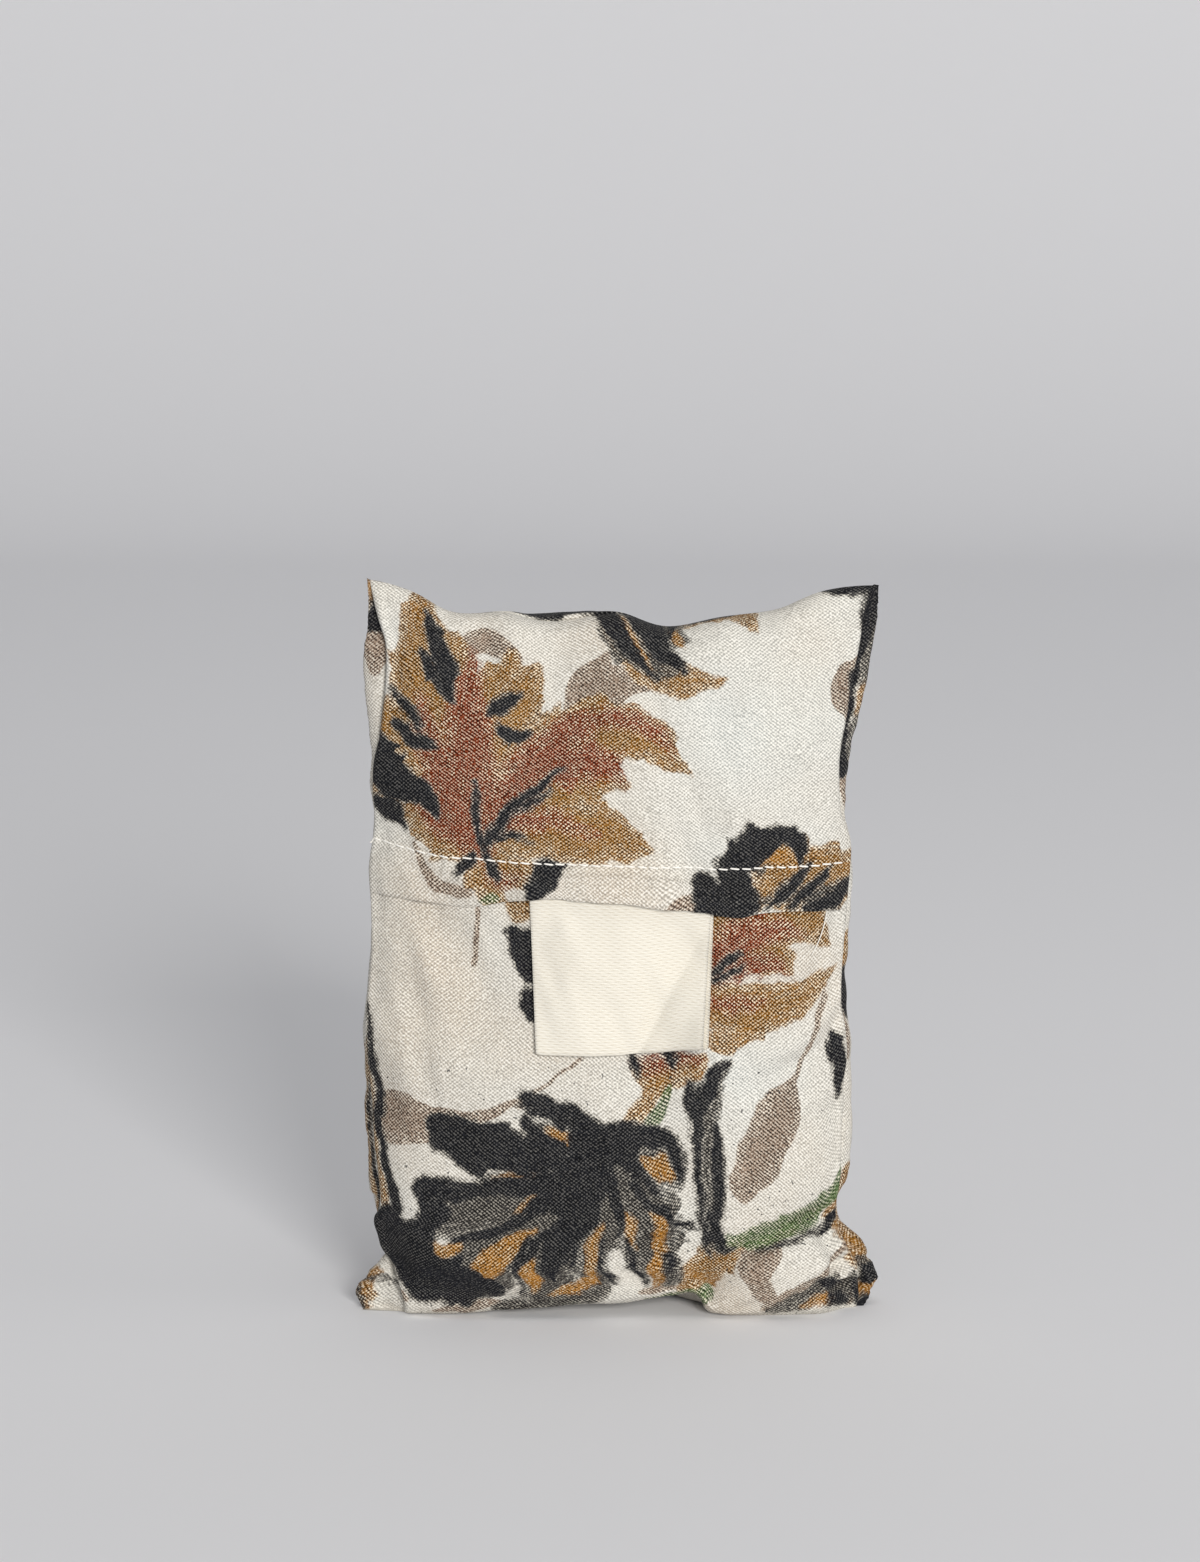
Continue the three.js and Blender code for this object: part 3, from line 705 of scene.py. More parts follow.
SIDE_LEAF = table(
    STROKE_COLUMNS,
    ("ochre", 20, 80, 34, 100, 51, 83, 5.0, 8.0, 0.4, 3),
    ("ochre", 22, 86, 31, 96, 42, 95, 5.0, 6.4, 0.6, 2),
    ("ochre", 28, 84, 36, 82, 41, 77, 4.0, 5.0, 0.4, 3),
    ("ochre", 20, 72, 32, 62, 52, 78, 5.4, 6.0, 0.3, 2),
    ("ochre", 19, 63, 27, 59, 33, 65, 1.6, 2.6, 0.4, 2),
    ("rust", 21, 78, 27, 87, 34, 92, 3.4, 4.4, 0.7, 2),
    ("rust", 22, 77, 32, 82, 40, 77, 3.0, 3.6, 0.4, 3),
    ("rust", 27, 84, 36, 90, 43, 86, 3.0, 3.0, 0.4, 2),
    ("rust", 20, 71, 27, 69, 34, 71, 1.4, 1.8, 0.3, 2),
    ("charcoal", 21.5, 77, 24, 80, 28, 82, 0.4, 0.8, 0.2, 2),
    ("charcoal", 22, 76, 25, 77, 29, 79, 0.3, 0.5, 0.2, 0),
    ("ochre", -25, 97, -23, 91, -18, 94, 1.6, 3.0, 2.0, 0),
    ("charcoal", -24, 88, -20, 84, -20, 77, 1.4, 3.4, 1.0, 2),
    ("charcoal", -21, 74, -20, 72, -19, 69, 1.0, 2.2, 1.0, 0),
    ("ochre", 5, 56, 13, 51, 19, 57, 1.8, 4.4, 1.8, 2),
    ("rust", 5, 58, 11, 56, 18, 57, 1.2, 2.8, 1.2, 2),
    ("ochre", 9, 54, 6, 46, 0, 42, 1.8, 2.4, 0.8, 0),
    ("green", 12, 50, 10, 45, 4, 41, 1.0, 1.8, 0.5, 0),
    ("charcoal", 4, 59, 5, 57, 5, 55.5, 0.5, 1.0, 0.4, 0),
    ("charcoal", 11, 60, 13, 58, 13, 55, 0.3, 0.8, 0.3, 0),
    ("taupe", -31.7, 98, -32.4, 88, -33, 80, 0.7, 0.7, 1.1, 0),
    ("taupe", -8, 59, -14, 55, -22, 48, 0.5, 0.5, 0.6, 0),
    ("taupe", -60, 44, -49, 44, -40, 43, 4.0, 5.4, 2.0, 0),
    ("taupe", -42, 45, -31, 45, -21, 50, 1.6, 1.5, 0.5, 0),
)

CHARCOAL_LEAF = table(
    STROKE_COLUMNS,
    # Its grey underpainting
    ("wash", 0.5, 36, 9, 24, 12.5, 12, 4.0, 6.0, 4.0, 3),
    ("wash", -1.5, 33.5, -3, 19.5, -5.5, 7.5, 5.0, 4.6, 3.2, 3),
    ("wash", -8.5, 31, -13.5, 17, -19, 5, 6.0, 7.0, 4.5, 3),
    ("wash", -13.5, 31, -26, 18, -36.5, 10, 6.0, 8.0, 6.0, 2),
    ("wash", -17, 32.5, -30.5, 27.5, -42.5, 24, 4.0, 5.5, 4.0, 2),
    ("wash", 5.5, 39.5, 11, 36, 12.5, 31, 2.6, 3.4, 1.6, 0),
    ("wash", -17, 42.5, -11, 39.5, -5, 37.5, 2.6, 3.4, 2.0, 0),
    ("wash", 9, 18, 13, 13.5, 10.5, 9, 3.0, 4.5, 2.4, 3),
    ("wash", -5, 6.5, -14, 3, -27, 1.5, 2.6, 3.6, 2.4, 3),
    ("wash", -41, 17, -38.5, 18, -35, 18.5, 1.4, 1.8, 1.2, 2),
    # Warm light between the ribs
    ("gold", -16, 43, -11, 42, -6.5, 38.5, 0.6, 1.5, 0.5, 0),
    ("gold", 6, 37.5, 9.5, 36, 12.5, 32, 0.8, 1.9, 0.8, 0),
    ("gold", -28, 33.5, -21.5, 34, -14.5, 35.5, 0.4, 1.0, 0.3, 0),
    ("gold", -23.5, 27, -20, 28, -17.5, 30, 0.8, 1.5, 0.4, 0),
    ("gold", -41, 18, -37.5, 18, -34, 19.5, 0.8, 1.6, 0.5, 0),
    ("gold", -30, 13.5, -25, 18, -19, 22.5, 2.0, 2.9, 0.8, 0),
    ("gold", -20.5, 7.5, -19, 12, -17.5, 17, 1.0, 1.7, 0.5, 0),
    ("gold", -16, 5.5, -8.5, 7.5, -4.5, 13, 0.8, 1.5, 1.0, 0),
    ("gold", -5, 11, -3.5, 18, -4, 24.5, 1.0, 1.4, 0.5, 0),
    ("gold", 0.5, 27, 2.5, 23.5, 5, 20.5, 0.5, 1.2, 0.4, 0),
    ("gold", 7, 27, 10.5, 22.5, 12.5, 17, 0.6, 1.5, 0.8, 0),
    ("gold", 11, 18, 9, 13.5, 8.5, 8, 0.9, 1.9, 0.9, 0),
    # The dark ribs and lobes
    ("charcoal", -20.5, 49.5, -11, 46, -1.5, 42, 2.2, 2.3, 2.4, 2),
    ("charcoal", -20, 45, -17.5, 39.5, -5, 37.5, 1.4, 1.7, 1.6, 0),
    ("charcoal", -39.5, 41.5, -30.5, 40.5, -14.5, 36.5, 4.0, 5.0, 2.4, 2),
    ("charcoal", -30.5, 43, -22.5, 40.5, -11, 36, 2.0, 2.6, 2.0, 2),
    ("charcoal", -14.5, 33, -29.5, 31.5, -45, 29.5, 2.6, 1.8, 2.2, 2),
    ("charcoal", -44, 29.5, -41, 24, -44.5, 18, 2.2, 3.4, 3.4, 0),
    ("charcoal", -55.5, 23, -50.5, 14.5, -44.5, 7.8, 3.0, 6.2, 4.6, 0),
    ("charcoal", -51, 20, -48, 20.5, -44, 21, 2.4, 2.2, 2.0, 2),
    ("charcoal", -47, 18, -42.5, 11.5, -35.5, 6.5, 4.0, 6.2, 4.5, 2),
    ("charcoal", -41, 6.5, -35.5, 5.5, -28.5, 9, 3.2, 3.6, 2.0, 2),
    ("charcoal", -39, 14.5, -34, 11, -28.5, 10, 3.0, 4.0, 1.4, 2),
    ("charcoal", -13.5, 32, -23.5, 23, -35.5, 20.5, 2.4, 1.6, 0.7, 2),
    ("charcoal", -6.5, 38.5, -11, 26.5, -14.5, 10, 5.5, 4.6, 0.6, 2),
    ("charcoal", -11, 27, -17.5, 21, -22.5, 10, 1.8, 1.3, 0.4, 2),
    ("charcoal", -19, 21.5, -20.5, 16, -23.5, 6.5, 0.8, 0.8, 0.3, 2),
    ("charcoal", -6.5, 29, -7.5, 21.5, -8.5, 16, 2.2, 1.6, 0.4, 2),
    ("charcoal", -3, 42.5, 8.5, 44.5, 13.5, 37, 2.4, 2.0, 1.4, 0),
    ("charcoal", 12.5, 39, 15.5, 35, 13.5, 30, 1.4, 1.4, 0.5, 0),
    ("charcoal", -7.5, 42, -1.5, 39.5, 2.5, 39.5, 3.4, 4.4, 2.2, 0),
    ("charcoal", -0.5, 39.5, 5.5, 35, 9.5, 30, 2.2, 1.5, 0.4, 2),
    ("charcoal", -3, 35, -0.5, 29, 0.5, 21.5, 2.0, 1.3, 0.3, 2),
    ("charcoal", 3.5, 32.5, 9, 26, 17, 21, 1.0, 0.9, 0.4, 3),
    ("charcoal", 3, 21.5, 5.5, 16.5, 6, 8.5, 0.7, 0.8, 0.3, 2),
    ("charcoal", -2, 21.5, -1, 16, -1.5, 8.5, 0.5, 0.7, 0.3, 2),
    ("charcoal", 12, 17, 15, 15, 12.5, 13, 0.5, 0.8, 0.3, 0),
)

BRANCH = table(
    STROKE_COLUMNS,
    ("taupe", 41, 53, 37.6, 43, 29, 31, 0.5, 5.6, 3.4, 0),
    ("taupe", 42, 53, 45, 63, 51, 76, 0.7, 0.6, 0.4, 0),
    ("green", 57, 31, 47, 21, 25, 19, 1.8, 3.1, 1.6, 3),
    ("ochre", 52, 26, 44, 23, 35, 19, 0.6, 1.5, 0.8, 2),
    ("charcoal", 34, 16.8, 43, 18.8, 50, 20.5, 0.1, 0.4, 0.2, 3),
    ("charcoal", 49, 20, 52, 20.5, 55, 22, 0.3, 0.8, 0.5, 2),
    ("ochre", 29.5, 18.5, 22, 14, 15.5, 6, 2.4, 4.6, 3.0, 2),
    ("wash", 25, 56, 20, 50, 20, 41, 0.6, 3.0, 2.2, 2),
    ("wash", 20, 42, 23, 33, 21, 23, 2.2, 2.9, 2.0, 3),
    ("wash", 21, 24, 21, 17, 28, 18, 1.6, 2.2, 0.4, 2),
    ("charcoal", 25, 56.5, 19.5, 51, 18, 42, 0.5, 2.0, 0.9, 3),
    ("charcoal", 22, 42, 24.4, 33, 22, 22, 0.8, 1.4, 0.8, 3),
    ("charcoal", 18.4, 40, 18.6, 31, 19, 22, 0.6, 0.9, 0.4, 3),
    ("charcoal", 17, 51, 17.4, 45, 19, 36, 0.7, 1.3, 0.6, 2),
    ("charcoal", 21, 24, 22, 18, 28, 18, 1.0, 1.4, 0.3, 2),
    ("charcoal", 18, 24, 20, 20, 23, 16, 0.2, 0.6, 0.1, 0),
    ("green", 6, 3.0, 13, 3.6, 21, 5, 0.5, 1.0, 2.0, 2),
    ("green", -16, 3, -13, 3.5, -9, 2.5, 0.5, 1.2, 0.4, 0),
    ("taupe", 4, 6, 9, 6.5, 14, 6.5, 0.5, 1.3, 0.6, 0),
    ("taupe", 35, 16, 31.5, 9, 38, 3.5, 4.6, 3.4, 0.9, 0),
    ("taupe", 35, 2.5, 47, 8.5, 58, 16.5, 1.4, 1.3, 1.0, 2),
    ("wash", 36, 1.5, 43, 3.5, 50, 6, 1.0, 2.2, 2.0, 3),
    ("wash", 47, 6, 54, 5.5, 62, 4, 2.0, 3.8, 3.8, 3),
    ("ochre", 58.5, 7.5, 59.5, 5, 58, 1.5, 0.5, 1.2, 0.8, 0),
    ("gold", 44, 2.5, 49, 4, 54, 3, 0.4, 1.2, 0.6, 2),
    ("charcoal", 48, 9, 52, 7, 57, 6.5, 0.8, 1.7, 0.8, 2),
    ("charcoal", 51, 2.5, 54, 4, 57, 2, 0.8, 1.7, 0.8, 2),
    ("charcoal", 61, 6.5, 62, 3, 60, 1, 0.8, 1.6, 0.8, 2),
    ("taupe", 44, 60, 46, 64, 50, 71, 0.6, 0.6, 0.5, 0),
    ("ochre", 56, 30, 53, 22, 57, 17, 1.0, 2.2, 1.6, 2),
    ("ochre", 56, 18, 60, 18, 62, 10, 1.4, 2.8, 1.6, 2),
    ("charcoal", 51, 63, 53, 56, 53, 47, 0.6, 2.0, 0.3, 2),
    ("charcoal", 58, 98, 57, 92, 57, 86, 1.6, 2.0, 0.6, 2),
    ("ochre", 58, 86, 57, 78, 57, 72, 1.2, 1.8, 1.0, 2),
    ("charcoal", 58, 74, 57, 70, 57, 66, 1.0, 1.6, 0.6, 2),
    ("charcoal", -60, 68, -59, 56, -56.5, 44, 0.4, 0.9, 1.0, 3),
    ("charcoal", -57.5, 46, -56, 36, -52, 25, 0.8, 1.1, 1.5, 3),
    ("ochre", -60.5, 60, -60, 42, -55, 22, 0.6, 1.3, 1.6, 3),
    ("taupe", -62, 2, -56, 5, -50, 4, 1.2, 2.0, 0.8, 0),
    ("taupe", -42, 1, -35, 2, -28, 3, 0.7, 1.8, 0.7, 0),
)

# Parts of other motifs that run over the back's edges and show beside the seams, and a line of painted
# shadow
EDGE_MARKS = table(
    STROKE_COLUMNS,
    ("ochre", -59, 168, -61.5, 172, -62, 177, 1.6, 3.0, 3.0, 0),
    ("charcoal", -61, 176, -62, 178.5, -63, 181.5, 1.5, 3.6, 1.8, 2),
    ("taupe", -62, 180, -64, 185, -63, 191, 3.4, 4.4, 1.6, 2),
    ("wash", 59, 172, 61, 180, 59.5, 190, 3.0, 3.6, 2.4, 3),
    ("wash", 57.5, 200, 57.5, 206, 57, 210, 1.6, 2.2, 1.6, 3),
    ("charcoal", 60, 168, 64, 178, 65, 189, 3.6, 3.0, 2.0, 2),
    ("ochre", 58.4, 189, 58.8, 194, 58.4, 199, 1.2, 2.0, 1.0, 0),
    ("charcoal", 65, 187, 62.5, 200, 58, 212, 2.0, 1.9, 1.6, 2),
    ("taupe", 56, 211, 55, 216, 56, 220, 2.6, 2.4, 0.8, 0),
    ("ochre", 58.5, 250, 58, 256, 58.5, 261, 1.6, 2.4, 1.8, 0),
    ("charcoal", 58.5, 259, 58.5, 263, 59, 267, 2.0, 2.6, 1.4, 2),
    ("taupe", 61.5, 266, 61.5, 271, 62, 277, 1.0, 1.4, 0.8, 0),
    ("ochre", 60, 303, 60, 308, 62, 313, 2.8, 3.4, 1.6, 2),
    ("ochre", 63, 313, 62, 316, 60, 320, 1.0, 1.4, 2.4, 0),
    ("wash", 66, 326, 67, 331, 66, 337, 3.0, 4.6, 4.6, 3),
    ("ochre", 60, 318, 64, 321, 68, 325, 2.4, 4.0, 2.6, 2),
    ("charcoal", 65, 327, 67, 329, 69, 330, 1.4, 2.0, 1.2, 3),
    ("charcoal", 62, 336, 66, 335, 70, 336, 1.0, 1.8, 1.2, 2),
    ("gold", 62, 332, 66, 332, 70, 331, 0.8, 1.5, 0.8, 0),
    ("ochre", -64, 329, -65.5, 333, -66, 338.5, 1.6, 2.9, 2.6, 2),
    ("wash", -64, 333.5, -65.5, 336, -66, 339, 0.8, 1.5, 1.4, 3),
    ("ochre", -64, 276, -65.4, 298, -64.2, 318, 0.8, 1.8, 2.2, 3),
    ("charcoal", -65.2, 284, -66.8, 300, -65.4, 314, 0.3, 0.6, 0.7, 3),
    # A thin grey line of painted shadow across the left ear, where the cloth above overlaps it
    ("wash", -60, 330.5, -67, 331, -73, 333, 0.5, 0.7, 0.6, 0),
)

# How far the lower front's print lies above the heights given for it, because its cloth runs over the belly
PRINT_RISE = table(
    "up rise",
    (0, 0.0),
    (20, 2.4),
    (50, 5.0),
    (75, 3.4),
    (100, 1.0),
)

# Where the motifs lie on the two sheets of the cloth, each moved from its place above and turned in degrees
PLACEMENTS = table(
    "motif sheet move_x move_z turn",
    ("rust leaf", "flap", 0, 0, 0),
    ("hanging leaf", "flap", 0, 0, 0),
    ("edge leaf", "flap", 0, 0, 0),
    ("edge marks", "flap", 0, 0, 0),
    ("side leaf", "front", 0, 0, 0),
    ("charcoal leaf", "front", 0, 0, 0),
    ("branch", "front", 0, 0, 0),
    ("charcoal leaf", "flap", 24, 214, -24),
    ("rust leaf", "flap", 52, 116, 158),
    ("branch", "flap", -46, 204, 36),
    ("side leaf", "flap", -66, 226, 18),
    ("charcoal leaf", "flap", -8, 314, 152),
)
MOTIFS = {
    "rust leaf": RUST_LEAF,
    "hanging leaf": HANGING_LEAF,
    "edge leaf": EDGE_LEAF,
    "edge marks": EDGE_MARKS,
    "side leaf": SIDE_LEAF,
    "charcoal leaf": CHARCOAL_LEAF,
    "branch": BRANCH,
}
PAINTS = ("taupe", "ochre", "rust", "green", "wash", "gold", "charcoal")
FAR_OUTSIDE = -6.0
HALO = 0.6

# The teeth of a stroke grow with its half width, up to a width. A paint lies a step over the one before it.
TOOTH_HEIGHT = 1.2
TOOTH_WIDTH = 4
PAINT_STEP = 0.3

# The print's edges wander, by a distance and with a shortest and a longest length
WANDER = (0.45, 5, 16)


def moved(stroke, place, centre):
    """A stroke turned about its motif's centre and moved to its place on the cloth."""
    turn = math.radians(place["turn"])
    made = dict(stroke)
    for k in range(3):
        x, z = stroke[f"x{k}"] - centre[0], stroke[f"z{k}"] - centre[1]
        made[f"x{k}"] = centre[0] + x * math.cos(turn) - z * math.sin(turn) + place["move_x"]
        made[f"z{k}"] = centre[1] + x * math.sin(turn) + z * math.cos(turn) + place["move_z"]
    return made


def stroke_cover(stroke, x, z):
    """How far each point lies inside a stroke of paint, negative outside it, and how far it lies across and
    along the stroke."""
    path = bent_path(stroke, 8)
    away, along = from_path(x, z, path)
    narrow, middle, end = stroke["wide0"], stroke["wide1"], stroke["wide2"]
    half = (1 - along) ** 2 * narrow + 2 * along * (1 - along) * (2 * middle - (narrow + end) / 2)
    half += along**2 * end
    tooth = along * stroke["teeth"] + 0.4 * (away > 0)
    uneven = 0.55 + 0.45 * np.sin(12.9 * np.floor(tooth) + 4.1 * (away > 0) + stroke["x1"])
    height = TOOTH_HEIGHT * min(1, stroke["teeth"]) * np.minimum(half / TOOTH_WIDTH, 1) * uneven
    inside = half + height * (2 * (tooth - np.floor(tooth)) ** 1.6 - 0.7) - np.abs(away)
    return inside, away, along * np.linalg.norm(path[-1] - path[0])


def print_cover(sheet, x, z):
    """For each paint, how far each point of a sheet of cloth lies inside its print, and for the marks of the
    brush's hairs, how far each point lies across and along the uppermost stroke."""
    cover = {paint: np.full(x.shape, FAR_OUTSIDE) for paint in PAINTS}
    hairs = {"hair_across": np.zeros(x.shape), "hair_along": np.zeros(x.shape)}
    uppermost = np.full(x.shape, -math.inf)
    if sheet == "front":
        z = z - smooth(PRINT_RISE, "up", "rise", z)
    far, *lengths = WANDER
    x, z = x + far * ripple(x, z, 21, *lengths), z + far * ripple(x, z, 22, *lengths)
    for place in rows_of(PLACEMENTS):
        if place["sheet"] != sheet:
            continue
        motif = MOTIFS[place["motif"]]
        centre = (np.mean([motif["x0"], motif["x2"]]), np.mean([motif["z0"], motif["z2"]]))
        for stroke in rows_of(motif):
            stroke = moved(stroke, place, centre)
            reach = 2 * max(stroke["wide0"], stroke["wide1"], stroke["wide2"]) + 8
            xs, zs = [stroke[f"x{k}"] for k in range(3)], [stroke[f"z{k}"] for k in range(3)]
            near = (x > min(xs) - reach) & (x < max(xs) + reach)
            near &= (z > min(zs) - reach) & (z < max(zs) + reach)
            if near.any():
                inside, away, run = stroke_cover(stroke, x[near], z[near])
                paint = cover[stroke["paint"]]
                paint[near] = np.maximum(paint[near], inside)
                if stroke["paint"] == "charcoal":
                    cover["wash"][near] = np.maximum(cover["wash"][near], inside + HALO)
                above = np.minimum(inside, 1) + PAINT_STEP * PAINTS.index(stroke["paint"])
                taken = near.copy()
                taken[near] = above > uppermost[near]
                chosen = taken[near]
                uppermost[taken] = above[chosen]
                hairs["hair_across"][taken] = away[chosen] + np.mod(7 * stroke["x1"], 2)
                hairs["hair_along"][taken] = run[chosen]
    return cover | hairs


# Patches of painted shade and painted light on the cream cloth: painted shade that is warmer and darker,
# where positive, or painted light that is cooler and paler
PATCHES = table(
    "across up reach warmth",
    (-44, 80, 16, 0.7),
    (-30, 66, 14, 0.6),
    (-48, 60, 12, 0.5),
    (0, 100, 14, 0.9),
    (-50, 99, 10, 0.7),
    (30, 60, 14, -0.6),
    (36, 132, 24, -0.9),
    (4, 156, 12, 0.3),
    (44, 84, 9, 0.6),
    (-48, 156, 10, -0.5),
    (28, 8, 14, 0.5),
    (-10, 60, 10, -0.4),
)


def warmth(cloth):
    """How warm and dark the cream is at each place of the cloth: random tone, and the patches' painted shade
    and painted light.
    """
    total = 0.25 * ripple(cloth[..., 0], cloth[..., 1], 51, 20, 60)
    for patch in rows_of(PATCHES):
        away = np.hypot(cloth[..., 0] - patch["across"], cloth[..., 1] - patch["up"])
        total += patch["warmth"] * hump(away, patch["reach"])
    return total


# How often the cloth's map is evened out, and two heights at which it shows the height above the floor
CLOTH_BLUR = 100
TRUE_HEIGHT = 100
FOOT_HEIGHT = 6


def blurred(grid, times, axes=(0, 1)):
    """A grid whose values are evened out with their neighbours' a number of times, but at its edges."""
    for _ in range(times):
        for axis in axes:
            inner = np.swapaxes(grid, 0, axis).copy()
            inner[1:-1] = (inner[:-2] + 2 * inner[1:-1] + inner[2:]) / 4
            grid = np.swapaxes(inner, 0, axis)
    return grid


def evenness(grid, cloth):
    """How true to length the cloth's places are, from 1 where they are true to 0 where they aren't."""
    (a, ca), (b, cb) = ((np.gradient(grid, axis=axis), np.gradient(cloth, axis=axis)) for axis in (0, 1))
    across, both, up = (np.sum(p * q, -1) for p, q in ((a, a), (a, b), (b, b)))
    cloth_across, cloth_both, cloth_up = (np.sum(p * q, -1) for p, q in ((ca, ca), (ca, cb), (cb, cb)))
    area = np.maximum(across * up - both**2, 1e-9)
    middle = (up * cloth_across - 2 * both * cloth_both + across * cloth_up) / area / 2
    spread = np.sqrt(np.maximum(middle**2 - (cloth_across * cloth_up - cloth_both**2) / area, 0))
    most, least = np.sqrt(np.maximum(middle + spread, 0)), np.sqrt(np.maximum(middle - spread, 0))
    return blurred(hump(np.abs(most - 1) + np.abs(least - 1), 1.1), 3)


class Pouch:
    """The pouch's two faces as grids of points in millimetres, with the cloth's own coordinates."""

    def __init__(self, settle):
        self.heights = pouch_heights()
        front, back = pouch_face(True, self.heights), pouch_face(False, self.heights)
        if settle:
            plain = [pouch_face(is_front, self.heights, folded=False) for is_front in (True, False)]
            moves = settling_moves(*plain)
            front, back = (settled(face, move) for face, move in zip((front, back), moves))
        points = np.concatenate([front.reshape(-1, 3), back.reshape(-1, 3)])
        middle = (points.min(0) + points.max(0)) / 2
        cad_middle = (POUCH_LOW + POUCH_HIGH) / 2 / MM
        shift = np.array([cad_middle.x - middle[0], cad_middle.y - middle[1], 0])
        self.front, self.back = front + shift, back + shift
        self.shift = shift
        self.front_cloth = self.cloth_places(self.front)
        self.back_cloth = self.cloth_places(self.back)
        over_the_fold = np.linalg.norm(self.back[:, -1:] - self.front[:, -1:], axis=-1)
        top = self.front_cloth[:, -1:, 1] + self.back_cloth[:, -1:, 1] + over_the_fold
        self.back_cloth[..., 1] = top - self.back_cloth[..., 1]

    @staticmethod
    def cloth_places(grid):
        """How far across and up its cloth each point lies, along the surface."""
        middle = COLUMNS // 2
        across = blurred(run_length(grid, 0, middle) + grid[middle, :, 0][None], CLOTH_BLUR, (1,))
        row = int(np.argmin(np.abs(grid[middle, :, 2] - TRUE_HEIGHT)))
        up = blurred(run_length(grid, 1, row), CLOTH_BLUR, (0,))
        foot = int(np.argmin(np.abs(grid[middle, :, 2] - FOOT_HEIGHT)))
        stretch = (grid[:, foot, 2] - grid[:, row, 2]) / up[:, foot]
        up = np.where(up < 0, up * stretch[:, None], up) + grid[:, row, 2][:, None]
        return np.stack([across, up], -1)


# The simulated copy: its step in the grid, its frames, the longest move that it may make, how often its
# moves are evened out, the height of its held base, and how low the settled cloth may lie
SETTLING_STEP = 2
SETTLING_FRAMES = 22
SETTLING_CAP = 2.4
SETTLING_BLUR = 2
SETTLING_BASE = 1.5
LOWEST_SETTLED = 0.05
SETTLING_CLOTH = {
    "quality": 6,
    "mass": 0.12,
    "air_damping": 4,
    "tension_stiffness": 12,
    "compression_stiffness": 12,
    "shear_stiffness": 3,
    "bending_stiffness": 0.02,
    "shrink_min": -0.03,
    "use_pressure": True,
    "uniform_pressure_force": 2.5,
    "vertex_group_mass": "base",
}


def finer(grid, step):
    """A grid of vectors read off at step times as many places along both of its directions."""
    for axis in (0, 1):
        at = np.arange((grid.shape[axis] - 1) * step + 1) / step
        i = np.minimum(at.astype(int), grid.shape[axis] - 2)
        shape = [1, 1, 1]
        shape[axis] = -1
        share = (at - i).reshape(shape)
        grid = (1 - share) * np.take(grid, i, axis) + share * np.take(grid, i + 1, axis)
    return grid


def settled(face, move):
    """A face moved by its settling, and still above the floor."""
    moved_face = face + move
    moved_face[..., 2] = np.maximum(moved_face[..., 2], np.minimum(face[..., 2], LOWEST_SETTLED))
    return moved_face


def settling_moves(front, back):
    """How the two faces move as slack cloth buckles over the filling, in Blender's cloth simulation."""
    coarse = [grid[::SETTLING_STEP, ::SETTLING_STEP] for grid in (front, back)]
    piece = closed_mesh("settling", *coarse, {}, None)
    base = piece.vertex_groups.new(name="base")
    base.add([v.index for v in piece.data.vertices if v.co.z < SETTLING_BASE * MM], 1.0, "REPLACE")
    modifier = piece.modifiers.new("Cloth", "CLOTH")
    for key, value in SETTLING_CLOTH.items():
        setattr(modifier.settings, key, value)
    modifier.settings.effector_weights.gravity = 0
    modifier.collision_settings.use_collision = False
    scene = bpy.context.scene
    for number in range(1, SETTLING_FRAMES + 1):
        scene.frame_set(number)
    found = piece.evaluated_get(bpy.context.evaluated_depsgraph_get()).to_mesh()
    points = np.zeros(len(found.vertices) * 3)
    found.vertices.foreach_get("co", points)
    scene.frame_set(1)
    bpy.data.objects.remove(piece)
    points = points.reshape(2, *coarse[0].shape) / MM
    moves = []
    for start, end in zip(coarse, points):
        move = end - start
        length = np.linalg.norm(move, axis=-1, keepdims=True)
        move *= SETTLING_CAP * np.tanh(length / SETTLING_CAP) / np.maximum(length, 1e-9)
        moves.append(finer(blurred(move, SETTLING_BLUR), SETTLING_STEP))
    return moves


class Made:
    """What one operator has made that a later one builds on."""

    pouch = None
    surface = None
    flap_outer = None


def finish_piece(piece, node):
    """Rides a piece on the body, and hides its node's part."""
    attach(piece, "root")
    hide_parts(node)


# The pouch's front bears the flap's print from this far over the hem's edge. Specks lie on it up to a
# height, and fewer lie on its back.
UNDER_FLAP = 2
SPECKS_TOP = 60
SPECKS_BEHIND = 0.3


